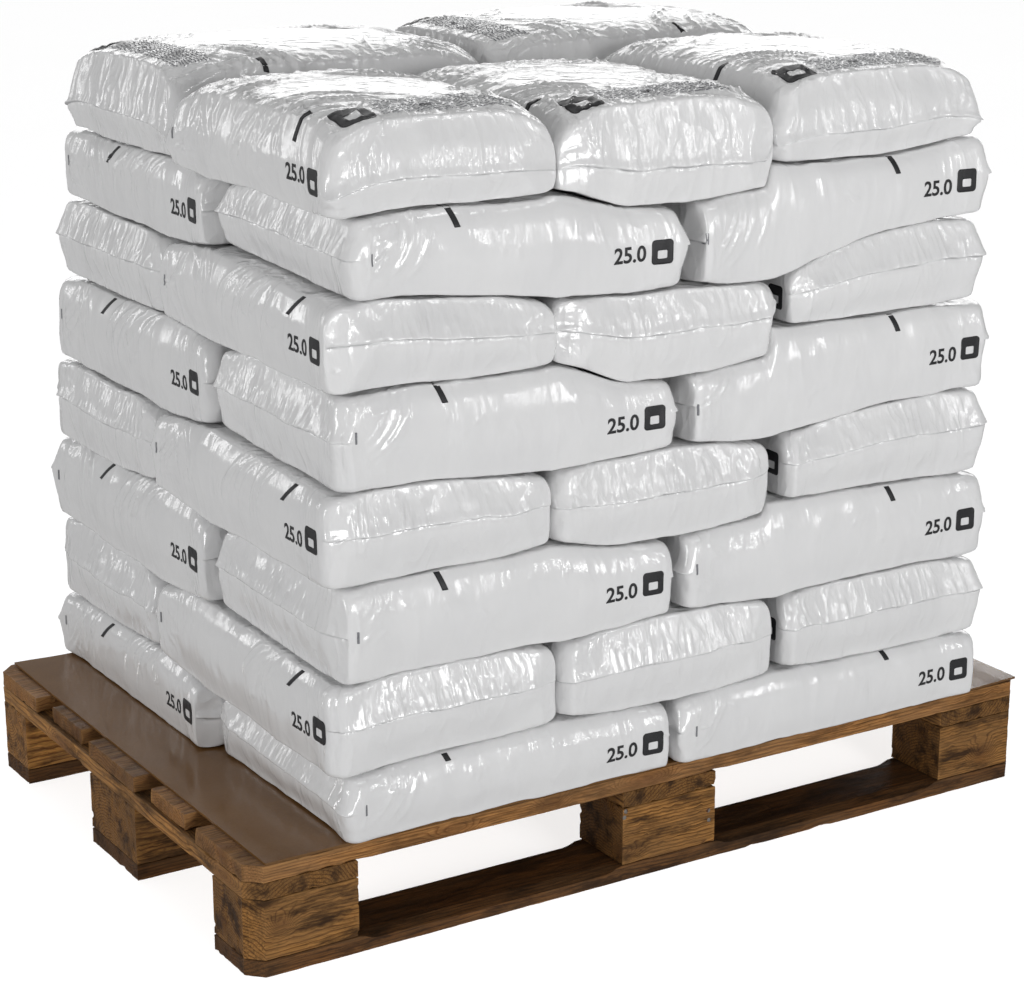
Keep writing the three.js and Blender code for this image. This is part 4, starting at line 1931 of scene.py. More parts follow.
@dataclass
class Load:
    """All forty sacks, laid in eight layers that sink into each other."""

    size: SackSize = field(default_factory=SackSize)
    layers: int = 8
    wave_mm: float = 10.0
    rough_mm: tuple[float, float] = (2.4, 0.8)
    rough_cell_mm: tuple[float, float] = (120.0, 40.0)
    shoulder_share: float = 0.77
    end_drop: float = 0.13
    sunk_mm: tuple[float, ...] = (0.0, 0.0, 0.0, 15.0, 18.0, 37.0, 40.0, 27.0)
    right_rise_mm: tuple[float, ...] = (0.0, 0.0, 0.0, -7.0, 0.0, 0.0, 9.0, 15.0)
    corner_sink_mm: float = 5.0
    slims_mm: tuple[tuple[str, float], ...] = (
        ("sack_2_front_right", 15.0), ("sack_3_front_right", 8.0), ("sack_4_front_right", 22.0),
        ("sack_5_front_right", 14.0), ("sack_6_front_right", 24.0), ("sack_7_front_right", 16.0))
    sacks: list[Sack] = field(default_factory=list)

    def read_places(self, film: PressedFilm) -> None:
        """Makes the sacks where the frame has their solids.

        Args:
            film: The pressed film that the sacks read.
        """
        for number, node in enumerate(sorted(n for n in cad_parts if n.startswith("sack_"))):
            _, layer, row, column = node.split("_")
            low, high = (np.array(corner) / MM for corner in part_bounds(node))
            crosswise = (high - low)[1] > (high - low)[0]
            half = (high - low) / 2
            if crosswise:
                half = half[[1, 0, 2]]
            sides = [(1, -1 if row == "front" else 1)]
            if column != "middle":
                sides.append((0, -1 if column == "left" else 1))
            near = [side for side in sides if side[1] < 0]
            if crosswise:
                sides, near = ([(0, sign) if axis == 1 else (1, -sign) for axis, sign in listed]
                               for listed in (sides, near))
            # Some sacks stand off their left neighbour
            off = dict(self.slims_mm).get(node)
            slims = {(1, 1) if crosswise else (0, -1): off} if off else {}
            self.sacks.append(Sack(node, self.size, film, 100 + number, (low + high) / 2, half,
                                   bool(crosswise), sides, near, int(layer) == self.layers, slims))

    def layer_sacks(self, layer: int) -> list[Sack]:
        """Lists the sacks of one layer, counted from 1."""
        return [s for s in self.sacks if s.node.startswith(f"sack_{layer}_")]

    def fullness(self, layer: int, flat: np.ndarray) -> np.ndarray:
        """Says how full a layer's sacks are over each place: 1 in a sack's middle and 0 at its corners.

        Args:
            layer: Which layer, counted from 1.
            flat: Rows of x and y in the pallet's frame.

        Returns:
            A number from 0 to 1 for each row.
        """
        full = np.zeros(len(flat))
        nearest = np.full(len(flat), np.inf)
        for sack in self.layer_sacks(layer):
            half = (sack.half[[1, 0]] if sack.crosswise else sack.half[:2]) + 2
            offset = np.abs(flat - sack.middle[:2])
            outer = np.minimum(offset / half, 1.0)
            value = 0.5 * ((1 - outer[:, 0] ** 3) + (1 - outer[:, 1] ** 3))
            # A place past the layer's edge goes with the sack next to it
            beyond = np.clip(offset - half, 0, None).max(1)
            equal = np.abs(beyond - nearest) < 1e-6
            full = np.where(beyond < nearest - 1e-6, value, np.where(equal, np.maximum(full, value), full))
            nearest = np.minimum(nearest, beyond)
        return full

    def sinking(self, layer: int, flat: np.ndarray) -> np.ndarray:
        """Says how far the top of a layer has sunk below its level, most in the middle of the front.

        Args:
            layer: Which layer's top, counted from 1.
            flat: Rows of x and y in the pallet's frame.

        Returns:
            Millimetres, below zero where it stands higher.
        """
        x, y = flat.T
        crossed = layer + 1 if layer % 2 else layer
        middle = next(s for s in self.layer_sacks(crossed) if s.node.endswith("front_middle"))
        left, right = middle.middle[0] - middle.half[1], middle.middle[0] + middle.half[1]
        ends = np.array([s.middle[0] + side * s.half[0 if not s.crosswise else 1]
                         for s in self.layer_sacks(layer) for side in (-1, 1)])
        first, last = ends.min(), ends.max()
        if layer % 2:
            # The next layer's middle sack has sunk as one, down to a step against its right neighbour
            along = 0.25 * smooth_step(first, left, x) + 0.75 * smooth_step(left, left + 110, x)
            along = along * (1 - smooth_step(right - 12, right + 2, x))
        else:
            along = smooth_step(first, 0.0, x) * (1 - smooth_step(right - 40, last - 150, x))
        front = 1 - smooth_step(-330.0, -120.0, y)
        rise = self.right_rise_mm[layer] * smooth_step(last - 190, last, x) * front
        corner = self.corner_sink_mm * (1 - smooth_step(first, first + 130, x)) * front
        return self.sunk_mm[layer] * along * front - rise + corner

    def interface(self, layer: int, flat: np.ndarray) -> np.ndarray:
        """Gives the height of the surface between a layer and the next one.

        Args:
            layer: 0 for the sheet under the load, 1 for the top of the first layer.
            flat: Rows of x and y in the pallet's frame.

        Returns:
            The heights in millimetres.
        """
        if layer == 0:
            first = self.layer_sacks(1)[0]
            return np.full(len(flat), first.middle[2] - first.half[2])
        sack = self.layer_sacks(layer)[0]
        level = sack.middle[2] + sack.half[2]
        noise_at = np.column_stack([flat, np.full(len(flat), 300.0 * layer)])
        wave = self.fullness(layer, flat) - self.fullness(layer + 1, flat)
        broad, fine = (height * lattice_noise(noise_at, cell, layer)
                       for height, cell in zip(self.rough_mm, self.rough_cell_mm))
        return level + self.wave_mm * wave + (broad + fine) - self.sinking(layer, flat)

    def crown(self, sack: Sack, film: np.ndarray) -> np.ndarray:
        """Gives the height of a top sack's upper film: crisp at the ends, round over the long sides.

        Args:
            sack: The sack.
            film: Points of its film in its own frame.

        Returns:
            Heights above its underside, in millimetres.
        """
        share = np.minimum(np.abs(film[:, :2]) / sack.half[:2], 1.0)
        across = (1 - share[:, 1] ** 3.3) ** 0.6
        along = 1 - self.end_drop * share[:, 0] ** 4
        corner = 0.1 * share[:, 0] ** 8 * share[:, 1] ** 6
        return sack.height * ((self.shoulder_share + (1 - self.shoulder_share) * across) * along - corner)

    def place(self, sack: Sack, film: np.ndarray) -> np.ndarray:
        """Lays a sack's film into its layer, between the surfaces below and above it.

        Args:
            sack: The sack.
            film: Points of its film in its own frame.

        Returns:
            The points in the pallet's frame, in millimetres.
        """
        layer = int(sack.node.split("_")[1])
        flat = sack.to_pallet(film)
        low = self.interface(layer - 1, flat) + self.size.gap / 2
        share = (film[:, 2] + sack.half[2]) / sack.height
        if sack.top:
            high = sack.middle[2] - sack.half[2] + self.crown(sack, film)
        else:
            high = self.interface(layer, flat) - self.size.gap / 2
        share = sack.thin_corners(film, np.clip(share, 0, 1 if not sack.top else 2))
        return np.column_stack([flat, low + share * (high - low)])

    def build(self) -> dict[str, Thing]:
        """Makes all the sacks.

        Returns:
            The sacks by their nodes' names.
        """
        film = PressedFilm(self.size)
        film.press()
        LOG.info("pressed %d sacks in cloth", len(film.results))
        self.read_places(film)
        finish = FilmFinish().material()
        made = {}
        for sack in self.sacks:
            block, faces = sack.net()
            shaped, rest, seam, taut = sack.shape(block)
            points = self.place(sack, sack.keep_clear(shaped))
            place = (rest + (sack.seed * 613.0, 0, 0)) * MM
            # seam carries the painted shade of the seal's crease to the film's finish
            piece = mesh_object(sack.node + "_film", points, faces, finish,
                                {"film_place": place, "seam": seam, "taut": taut})
            thinned(piece, self.size.kept_share)
            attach(piece, "root")
            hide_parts(sack.node)
            made[sack.node] = piece
            LOG.info("laid %s", sack.node)
        count = sum(len(p.vertices) - 2 for piece in made.values() for p in piece.data.polygons)
        LOG.info("laid %d sacks of %d triangles", len(made), count)
        return made


class Ink(Enum):
    """The two inks."""

    BLACK = "black"
    GREY = "grey"


class Mark(Enum):
    """What is printed on the film: a kind, and its width and height in millimetres."""

    SQUARE = ("frame", 30.0, 30.0)
    FRAME = ("frame", 46.0, 42.0)
    SMALL = ("rounded", 14.0, 6.0)
    TICK = ("bar", 8.0, 23.0)
    DASH = ("bar", 2.6, 14.0)
    NUMBER = ("number", 44.0, 19.0)

    @property
    def kind(self) -> str:
        """How the mark is drawn."""
        return self.value[0]

    @property
    def size(self) -> tuple[float, float]:
        """Its width and height in millimetres."""
        return self.value[1:]


def rounded_outline(width: float, height: float, radius: float) -> list[tuple[float, float]]:
    """Gives the outline of a rectangle with rounded corners round the origin.

    Args:
        width: The rectangle's width.
        height: Its height.
        radius: Radius of its corners.

    Returns:
        The outline's points, once round.
    """
    outline = []
    for number, (sx, sy) in enumerate(((1, 1), (-1, 1), (-1, -1), (1, -1))):
        for step in range(6):
            angle = math.radians(90 * number + 18 * step)
            outline.append((sx * (width / 2 - radius) + radius * math.cos(angle),
                            sy * (height / 2 - radius) + radius * math.sin(angle)))
    return outline


@dataclass(frozen=True)
class Cast:
    """A mark set out over the film: its points in millimetres, and the way that all of them are cast."""

    ink: Ink
    points: np.ndarray
    faces: list
    ray: np.ndarray


@dataclass
class Printing:
    """The plain marks printed on the film, laid on each sack by a Geometry Nodes ray cast."""

    grain_mm: float = 2.6
    ink_mm: float = 0.3
    coat_mm: float = 0.45
    start_mm: float = 30.0
    reach_mm: float = 110.0
    number: str = "25.0"
    number_size: float = 1.42
    number_boldness: float = 0.03
    rounding: float = 0.16
    bar_rounding_mm: float = 0.6
    window: tuple[float, float, float] = (0.46, 0.34, 0.1)
    line_pitch_mm: float = 5.2
    line_width_mm: float = 1.2
    line_count: int = 10
    tick_lean: tuple[float, float] = (-0.3, 0.9)
    black: InkFinish = InkFinish("black_film_ink", "#0f0f11")
    grey: InkFinish = InkFinish("grey_film_ink", "#6d6e73", fade="#8e8f93")
    flats: dict[Mark, tuple[np.ndarray, list]] = field(default_factory=dict)

    def write_number(self, flat: bmesh.types.BMesh, height: float) -> None:
        """Writes the number into a flat mesh, in millimetres round the origin.

        Args:
            flat: The mesh that gets the number.
            height: Height of the number.
        """
        text = bpy.data.curves.new("number", "FONT")
        text.body, text.size = self.number, height * self.number_size
        text.align_x, text.align_y = "CENTER", "CENTER"
        text.resolution_u, text.offset = 4, height * self.number_boldness
        holder = bpy.data.objects.new("number", text)
        bpy.context.scene.collection.objects.link(holder)
        depsgraph = bpy.context.evaluated_depsgraph_get()
        plain = bpy.data.meshes.new_from_object(holder.evaluated_get(depsgraph))
        flat.from_mesh(plain)
        bpy.data.objects.remove(holder)
        bpy.data.curves.remove(text)
        bpy.data.meshes.remove(plain)

    def plan(self, mark: Mark) -> bmesh.types.BMesh:
        """Draws a mark flat, in millimetres round the origin.

        Args:
            mark: The mark.

        Returns:
            Its flat mesh.
        """
        flat = bmesh.new()
        width, height = mark.size
        if mark.kind == "number":
            self.write_number(flat, height)
            return flat
        radius = self.bar_rounding_mm if mark.kind == "bar" else min(width, height) * self.rounding
        outline = rounded_outline(width, height, radius)
        ring = [flat.verts.new((*p, 0)) for p in outline]
        if mark.kind == "frame":
            wide, high, drop = self.window
            inner = [flat.verts.new((x * wide, y * high - height * drop, 0)) for x, y in outline]
            count = len(ring)
            for i in range(count):
                flat.faces.new((ring[i], ring[(i + 1) % count], inner[(i + 1) % count], inner[i]))
        else:
            flat.faces.new(ring)
        return flat

    def flat(self, mark: Mark) -> tuple[np.ndarray, list]:
        """Gives a mark's flat mesh, cut so finely that it can follow the film.

        Args:
            mark: The mark.

        Returns:
            Its points, as rows of x and y, and its faces.
        """
        if mark not in self.flats:
            drawn = self.plan(mark)
            points = np.array([v.co[:2] for v in drawn.verts])
            for axis in (0, 1):
                low, high = points[:, axis].min(), points[:, axis].max()
                for place in np.arange(low + self.grain_mm, high, self.grain_mm):
                    spot, way = [0.0, 0.0, 0.0], [0.0, 0.0, 0.0]
                    spot[axis], way[axis] = place, 1.0
                    bmesh.ops.bisect_plane(drawn, geom=drawn.verts[:] + drawn.edges[:] + drawn.faces[:],
                                           plane_co=spot, plane_no=way, dist=1e-4)
            bmesh.ops.remove_doubles(drawn, verts=drawn.verts, dist=1e-3)
            drawn.verts.index_update()
            self.flats[mark] = (np.array([v.co[:2] for v in drawn.verts]),
                                [tuple(v.index for v in f.verts) for f in drawn.faces])
            drawn.free()
        return self.flats[mark]

    def tree(self) -> Tree:
        """Makes the node tree that casts each point of a mark along its ray onto the film.

        Returns:
            The tree, with the inputs Geometry, Film, Reach, Coat and Ink.
        """
        tree, given = new_tree("print_on_film", {
            "Film": "Object", "Reach": "Float", "Coat": "Float", "Ink": "Material"})
        film = add_node(tree, "GeometryNodeObjectInfo", inputs={"Object": given["Film"]})
        cast = add_node(tree, "GeometryNodeRaycast", inputs={
            "Target Geometry": film.outputs["Geometry"], "Ray Direction": named_vector(tree, "ray"),
            "Ray Length": given["Reach"]}).outputs
        missed = add_node(tree, "FunctionNodeBooleanMath", {"operation": "NOT"}, {0: cast["Is Hit"]})
        kept = add_node(tree, "GeometryNodeDeleteGeometry", inputs={
            "Geometry": given["Geometry"], "Selection": missed.outputs[0]})
        lift = add_node(tree, "ShaderNodeVectorMath", {"operation": "SCALE"}, {
            0: cast["Hit Normal"], "Scale": given["Coat"]})
        spot = add_node(tree, "ShaderNodeVectorMath", {"operation": "ADD"}, {
            0: cast["Hit Position"], 1: lift.outputs[0]})
        laid = add_node(tree, "GeometryNodeSetPosition", inputs={
            "Geometry": kept.outputs[0], "Position": spot.outputs[0]})
        end_tree(tree, laid.outputs[0], given["Ink"])
        return tree

    def side_marks(self, sack: Sack, side: tuple[int, int]) -> list[tuple[Mark, float, float]]:
        """Lists the marks of a long side with their places: along to the right of its middle, and up.

        Args:
            sack: The sack.
            side: The axis and sign of its side.

        Returns:
            Marks with their two places.
        """
        right = sack.half[0] - 38
        rng = np.random.default_rng(sack.seed * 7 + side[1])
        if side in sack.near_sides:
            crosswise = 0.78 if "front" in sack.node else 0.345
            share = crosswise if sack.crosswise else self.lengthwise_tick(sack)
        else:
            share = rng.uniform(0.3, 0.7)
        along = (share * 2 - 1) * sack.half[0]
        below = 0 if sack.node.startswith("sack_1_front") else 15 if sack.crosswise else 11
        return [(Mark.SQUARE, right, sack.height * rng.uniform(0.46, 0.52)),
                (Mark.NUMBER, right - 46, sack.height * rng.uniform(0.42, 0.46)),
                (Mark.TICK, along, sack.height - below),
                (Mark.DASH, -(sack.half[0] - 24), sack.height * rng.uniform(0.5, 0.6))]

    @staticmethod
    def lengthwise_tick(sack: Sack) -> float:
        """Says where along a lengthwise sack its tick lies, from 0 to 1."""
        return 0.295 if "left" in sack.node else 0.675

    def top_marks(self, sack: Sack) -> list[tuple[Mark, float, float]]:
        """Lists the marks on a top sack with their places along and across it.

        Args:
            sack: The sack.

        Returns:
            Marks with their two places.
        """
        hx, hy = sack.half[:2]
        if sack.crosswise:
            tick = (Mark.TICK, -hx * (0.32 if "right" in sack.node else 0.56), hy - 17)
        else:
            tick = (Mark.TICK, (self.lengthwise_tick(sack) * 2 - 1) * hx, -(hy - 24))
        return [(Mark.FRAME, -(hx - 42), hy - 52), (Mark.SMALL, -(hx - 48), hy - 150), tick]

    def bars(self, sack: Sack) -> list[tuple[float, float, float]]:
        """Draws rows of fine grey strokes behind one end of a top sack: middle and length of each.

        Args:
            sack: The sack.

        Returns:
            Place along the sack, middle across it, and length.
        """
        rng = np.random.default_rng(sack.seed * 11)
        hx, hy = sack.half[:2]
        listed = []
        for row in range(self.line_count):
            x = -(hx - 30 - self.line_pitch_mm * row)
            y = -(hy - 46)
            while y < hy - 92:
                length = rng.uniform(3, 15)
                listed.append((x, y + length / 2, length))
                y += length + rng.uniform(1.6, 3.2)
        return listed

    def side_casts(self, sack: Sack, load: Load) -> list[Cast]:
        """Sets out the marks of a sack's long sides. A top sack's tick goes over its shoulder instead.

        Args:
            sack: The sack.
            load: The load, which knows where its sides lie.

        Returns:
            The marks, ready to be cast.
        """
        casts = []
        lean = self.tick_lean[1 if sack.crosswise else 0]
        for axis, sign in (*sack.open_sides, *sack.slims):
            if axis == 0:
                continue
            out = sack.to_pallet(np.array([[0.0, sign, 0.0]])) - sack.middle[:2]
            for mark, along, up in self.side_marks(sack, (axis, sign)):
                flat, faces = self.flat(mark)
                if mark is Mark.TICK:
                    if sack.top:
                        continue
                    flat = flat + flat[:, 1:] * (lean, 0.0)
                middle = load.place(sack, sack.on_side(1, sign, [(along, up)]))
                chart = sack.on_side(1, sign, [(along + u, 0.0) for u in flat[:, 0]])
                points = np.column_stack([sack.to_pallet(chart), middle[0, 2] + flat[:, 1]])
                ink = Ink.GREY if mark is Mark.DASH else Ink.BLACK
                casts.append(Cast(ink, points, faces, np.array([*-out[0], 0.0])))
        return casts

    def top_casts(self, sack: Sack) -> list[Cast]:
        """Sets out the marks over a top sack.

        Args:
            sack: The sack.

        Returns:
            The marks, ready to be cast.
        """
        quarter_turn = np.array([[0.0, 1.0], [-1.0, 0.0]])
        listed = []
        for mark, x, y in self.top_marks(sack):
            flat, faces = self.flat(mark)
            listed.append((Ink.BLACK, flat @ quarter_turn if mark is Mark.TICK else flat, faces, x, y))
        quads = [(2 * i, 2 * i + 1, 2 * i + 3, 2 * i + 2) for i in range(4)]
        half_width = self.line_width_mm / 2
        for x, y, length in self.bars(sack):
            u, v = np.meshgrid((-half_width, half_width), np.linspace(-length / 2, length / 2, 5))
            listed.append((Ink.GREY, np.column_stack([v.ravel(), u.ravel()]), quads, x, y))
        casts = []
        for ink, flat, faces, x, y in listed:
            on_film = np.column_stack([x + flat[:, 1], y - flat[:, 0], np.zeros(len(flat))])
            level = np.full(len(flat), sack.middle[2] + sack.half[2])
            points = np.column_stack([sack.to_pallet(on_film), level])
            casts.append(Cast(ink, points, faces, np.array([0.0, 0.0, -1.0])))
        return casts

    def lay(self, name: str, casts: list[Cast], film: Thing, tree: Tree,
            ink: Material) -> Thing:
        """Lays marks of one ink on a film.

        Args:
            name: The print's name.
            casts: The marks.
            film: The finished film.
            tree: The node tree that lays them.
            ink: Their ink.

        Returns:
            The print.
        """
        starts = np.concatenate([[0], np.cumsum([len(c.points) for c in casts])])
        faces = [tuple(int(start) + n for n in f) for start, c in zip(starts, casts) for f in c.faces]
        points = np.concatenate([c.points - c.ray * self.start_mm for c in casts])
        rays = np.concatenate([np.tile(c.ray, (len(c.points), 1)) for c in casts])
        piece = mesh_object(name, points, faces, ink, {"ray": rays})
        nodes = piece.modifiers.new("print", "NODES")
        nodes.node_group = tree
        set_inputs(nodes, {"Film": film, "Reach": self.reach_mm * MM, "Coat": self.coat_mm * MM, "Ink": ink})
        shell = piece.modifiers.new("coat", "SOLIDIFY")
        shell.thickness, shell.offset = self.ink_mm * MM, -1.0
        realized(piece)
        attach(piece, "root")
        return piece

    def build(self, load: Load, films: dict[str, Thing]) -> list[Thing]:
        """Prints every sack of the load.

        Args:
            load: The load, which knows where the sides of its sacks lie.
            films: The finished films by their nodes' names.

        Returns:
            The prints.
        """
        tree = self.tree()
        inks = {Ink.BLACK: self.black.material(), Ink.GREY: self.grey.material()}
        made = []
        for sack in load.sacks:
            casts = self.side_casts(sack, load) + (self.top_casts(sack) if sack.top else [])
            for ink, material in inks.items():
                chosen = [cast for cast in casts if cast.ink is ink]
                if chosen:
                    name = f"{sack.node}_{ink.value}_print"
                    made.append(self.lay(name, chosen, films[sack.node], tree, material))
        LOG.info("printed the sacks with %d prints", len(made))
        return made


@dataclass
class Timber:
    """One sawn and worn board or block, in the place of its solid."""

    node: str
    seed: int
    length_axis: int
    cuts: list[tuple[int, int]] = field(default_factory=list)
    corner_cut_mm: float = 20.0
    edge_mm: float = 1.6
    fine_mm: float = 5.0
    coarse_mm: float = 14.0
    near_end_mm: float = 170.0
    chip_mm: float = 3.0
    rough_mm: float = 0.5
    kept_share: float = 0.55
    bevel: tuple[float, float] | None = None
    bevel_spans: list[tuple[float, float]] = field(default_factory=list)
    tone: float = 0.0
    part_name: str = ""
    part_box: tuple[np.ndarray, np.ndarray] | None = None
    knots: list[tuple[float, float, float, float]] = field(default_factory=list)

    def grid_lines(self, half: np.ndarray, axis: int) -> np.ndarray:
        """Gives the places of the grid lines along one axis, close at both ends.

        Args:
            half: Half of the timber's length, width and height.
            axis: Which axis.

        Returns:
            Rising places from the timber's middle, in millimetres.
        """
        length = 2 * half[axis]
        near = [0.0, self.edge_mm * 0.5, self.edge_mm, self.edge_mm * 2.2]
        if self.cuts and axis < 2:
            near += [self.corner_cut_mm * t for t in (0.35, 0.6, 0.8, 1.0)]
        if self.bevel and axis == 1:
            near += [self.bevel[1] * t for t in (0.5, 1.0)]
        start = max(near)
        reach = min(self.near_end_mm, length / 2)
        fine = np.linspace(start, reach, max(1, int(round((reach - start) / self.fine_mm))) + 1)[1:]
        edge = np.concatenate([sorted(near), fine])
        count = max(1, int(round((length - 2 * reach) / self.coarse_mm)))
        middle = np.linspace(reach, length - reach, count + 1)
        lines = np.concatenate([edge, middle, length - edge]) - half[axis]
        lines = np.unique(np.round(lines, 4))
        return lines[np.concatenate([[True], np.diff(lines) > 0.3])]

    def build(self, material: Material, slot: str) -> Thing:
        """Makes the timber and ties it to its solid.

        Args:
            material: Its finish.
            slot: Not used.

        Returns:
            The timber's object.
        """
        low, high = self.part_box or (np.array(corner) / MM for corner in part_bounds(self.node))
        middle, half = (low + high) / 2, (high - low) / 2
        block, faces = block_net([self.grid_lines(half, axis) for axis in range(3)])
        styles = {cut: Corner.CHAMFER for cut in self.cuts}
        worn, normal = shape_block(block, half, self.edge_mm, self.corner_cut_mm, styles)
        if self.bevel:
            worn = self.bevel_edges(worn, half)
        on_end = np.clip(np.abs(normal[:, self.length_axis]) * 2 - 1, 0, 1)
        worn, wear = self.wear_edges(worn, normal, half)
        rng = np.random.default_rng(self.seed)
        place = worn.copy()
        if self.length_axis == 1:
            place = place[:, [1, 0, 2]]
        elif self.length_axis == 2:
            place = place[:, [2, 0, 1]]
        pith = np.array([rng.uniform(-900, 900), rng.uniform(-60, 60),
                         rng.uniform(35, 110) * rng.choice([-1, 1])])
        log = (place + pith) * MM
        knot = np.zeros(len(worn))
        for *spot, radius in self.knots:
            knot = np.maximum(knot, 1 - np.linalg.norm(worn + middle - spot, axis=1) / radius)
        # upper says how far each face looks up, for the wood's painted shade on upward faces
        piece = mesh_object((self.part_name or self.node) + "_timber", worn + middle, faces, material,
                            {"log_place": log, "wear": wear, "end_grain": on_end, "knot": knot,
                             "upper": np.clip(normal[:, 2], 0, 1),
                             "tone": np.full(len(worn), self.tone)}, smooth=False)
        thinned(piece, self.kept_share)
        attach(piece, "root")
        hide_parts(self.node)
        return piece

    def bevel_edges(self, points: np.ndarray, half: np.ndarray) -> np.ndarray:
        """Takes the bevel off the upper long edges between the blocks.

        Args:
            points: The timber's points from its middle.
            half: Half of its length, width and height.

        Returns:
            The bevelled points.
        """
        down, across = self.bevel
        out = points.copy()
        inward = half[1] - np.abs(out[:, 1])
        strength = np.zeros(len(out))
        for start, stop in self.bevel_spans:
            strength = np.maximum(strength, smooth_step(start, start + 25, out[:, 0])
                                  * (1 - smooth_step(stop - 25, stop, out[:, 0])))
        limit = half[2] - down * np.clip(1 - inward / across, 0, 1) * strength
        out[:, 2] = np.minimum(out[:, 2], limit)
        return out

    def wear_edges(self, points: np.ndarray, normal: np.ndarray,
                   half: np.ndarray) -> tuple[np.ndarray, np.ndarray]:
        """Roughens the sawn faces and knocks splinters off the edges, only ever inwards.

        Args:
            points: The timber's points from its middle.
            normal: Their outward normals.
            half: Half of its length, width and height.

        Returns:
            The worn points, and how worn each is, from 0 to 1.
        """
        inset = np.sort(half - np.abs(points), axis=1)
        edge_distance = inset[:, 1]
        drawn = points.copy()
        drawn[:, self.length_axis] *= 0.3
        lumps = lattice_noise(drawn, 11.0, self.seed) + 0.6 * lattice_noise(drawn, 4.5, self.seed + 1)
        chips = np.clip(lumps - 0.45, 0, None) * self.chip_mm * np.exp(-edge_distance / 4.0)
        towards = -np.sign(points) * np.exp(-(half - np.abs(points)) / 3.0)
        rough = (0.5 + 0.5 * lattice_noise(drawn, 6.0, self.seed + 2)) * self.rough_mm
        on_end = np.abs(normal[:, self.length_axis]) > 0.7
        rough = np.where(on_end, rough * 1.8, rough)
        out = points + towards * chips[:, None] - normal * rough[:, None]
        patchy = 0.55 + 0.9 * lattice_noise(drawn, 16.0, self.seed + 3)
        worn = np.clip(np.exp(-edge_distance / 2.5) * patchy, 0, 1)
        return out, worn


@dataclass
class Nails:
    """The heads of the pallet's wire nails, set by Geometry Nodes flush in the wood."""

    radius_mm: float = 3.4
    crown_mm: float = 0.5
    sides: int = 16
    front_mm: tuple[tuple[float, float], ...] = ((-68.0, 96.0), (-70.0, 88.0), (62.0, 68.0), (64.0, 54.0))
    under_mm: tuple[tuple[float, float], ...] = ((-40.0, -30.0), (36.0, 22.0), (-8.0, 34.0))

    def head(self, material: Material) -> Thing:
        """Turns one head: a low dome over a short shank, its face in the plane z = 0.

        Args:
            material: Its finish.

        Returns:
            The head's object.
        """
        ring = [(0.62, 0.0), (0.9, -0.1), (1.0, -0.45), (0.98, -1.0), (0.45, -2.2), (0.4, -4.0)]
        points = []
        for share, depth in ring:
            for side in range(self.sides):
                angle = 2 * math.pi * side / self.sides
                radius = self.radius_mm * share
                points.append((radius * math.cos(angle), radius * math.sin(angle), depth * self.crown_mm * 2))
        faces = [tuple(range(self.sides))]
        for row in range(len(ring) - 1):
            low, high = row * self.sides, (row + 1) * self.sides
            faces += [(low + i, high + i, high + (i + 1) % self.sides, low + (i + 1) % self.sides)
                      for i in range(self.sides)]
        last = (len(ring) - 1) * self.sides
        faces.append(tuple(range(last + self.sides - 1, last - 1, -1)))
        return mesh_object("nail_head", np.array(points), faces, material)

    def tree(self) -> Tree:
        """Makes the node tree that sets a head on each point, facing as the point says.

        Returns:
            The tree, with the inputs Geometry, Head, Spread, Seed and Steel.
        """
        tree, given = new_tree("nail_setting", {
            "Head": "Object", "Spread": "Float", "Seed": "Int", "Steel": "Material"})
        points = add_node(tree, "GeometryNodeMeshToPoints", inputs={"Mesh": given["Geometry"]})
        turn = add_node(tree, "FunctionNodeAlignRotationToVector", {"axis": "Z"}, {
            "Vector": named_vector(tree, "facing")})
        head = add_node(tree, "GeometryNodeObjectInfo", inputs={"Object": given["Head"]})
        size = add_node(tree, "FunctionNodeRandomValue", {"data_type": "FLOAT"}, {
            2: sum_of(tree, "SUBTRACT", 1.0, given["Spread"]), 3: 1.0, "Seed": given["Seed"]})
        heads = add_node(tree, "GeometryNodeInstanceOnPoints", inputs={
            "Points": points.outputs[0], "Instance": head.outputs["Geometry"], "Rotation": turn.outputs[0],
            "Scale": size.outputs[1]})
        end_tree(tree, heads.outputs[0], given["Steel"])
        return tree

    def build(self) -> Thing:
        """Sets the nails under the ground boards and in the front of the middle block.

        Returns:
            All the nails in one piece.
        """
        places, facing = [], []
        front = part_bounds("block_front_middle")[0][1] / MM
        for x, z in self.front_mm:
            places.append((x, front, z))
            facing.append((0.0, -1.0, 0.0))
        for name in sorted(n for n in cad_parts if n.startswith("block_")):
            low, high = (np.array(corner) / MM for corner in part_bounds(name))
            for dx, dy in self.under_mm:
                places.append(((low + high)[0] / 2 + dx, (low + high)[1] / 2 + dy, 0.0))
                facing.append((0.0, 0.0, -1.0))
        finish = NailFinish().material()
        head = self.head(finish)
        piece = mesh_object("nails", np.array(places), [], finish, {"facing": np.array(facing)})
        nodes = piece.modifiers.new("nail_setting", "NODES")
        nodes.node_group = self.tree()
        set_inputs(nodes, {"Head": head, "Spread": 0.08, "Seed": 4, "Steel": finish})
        realized(piece)
        bpy.data.objects.remove(head)
        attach(piece, "root")
        LOG.info("set %d nails", len(places))
        return piece


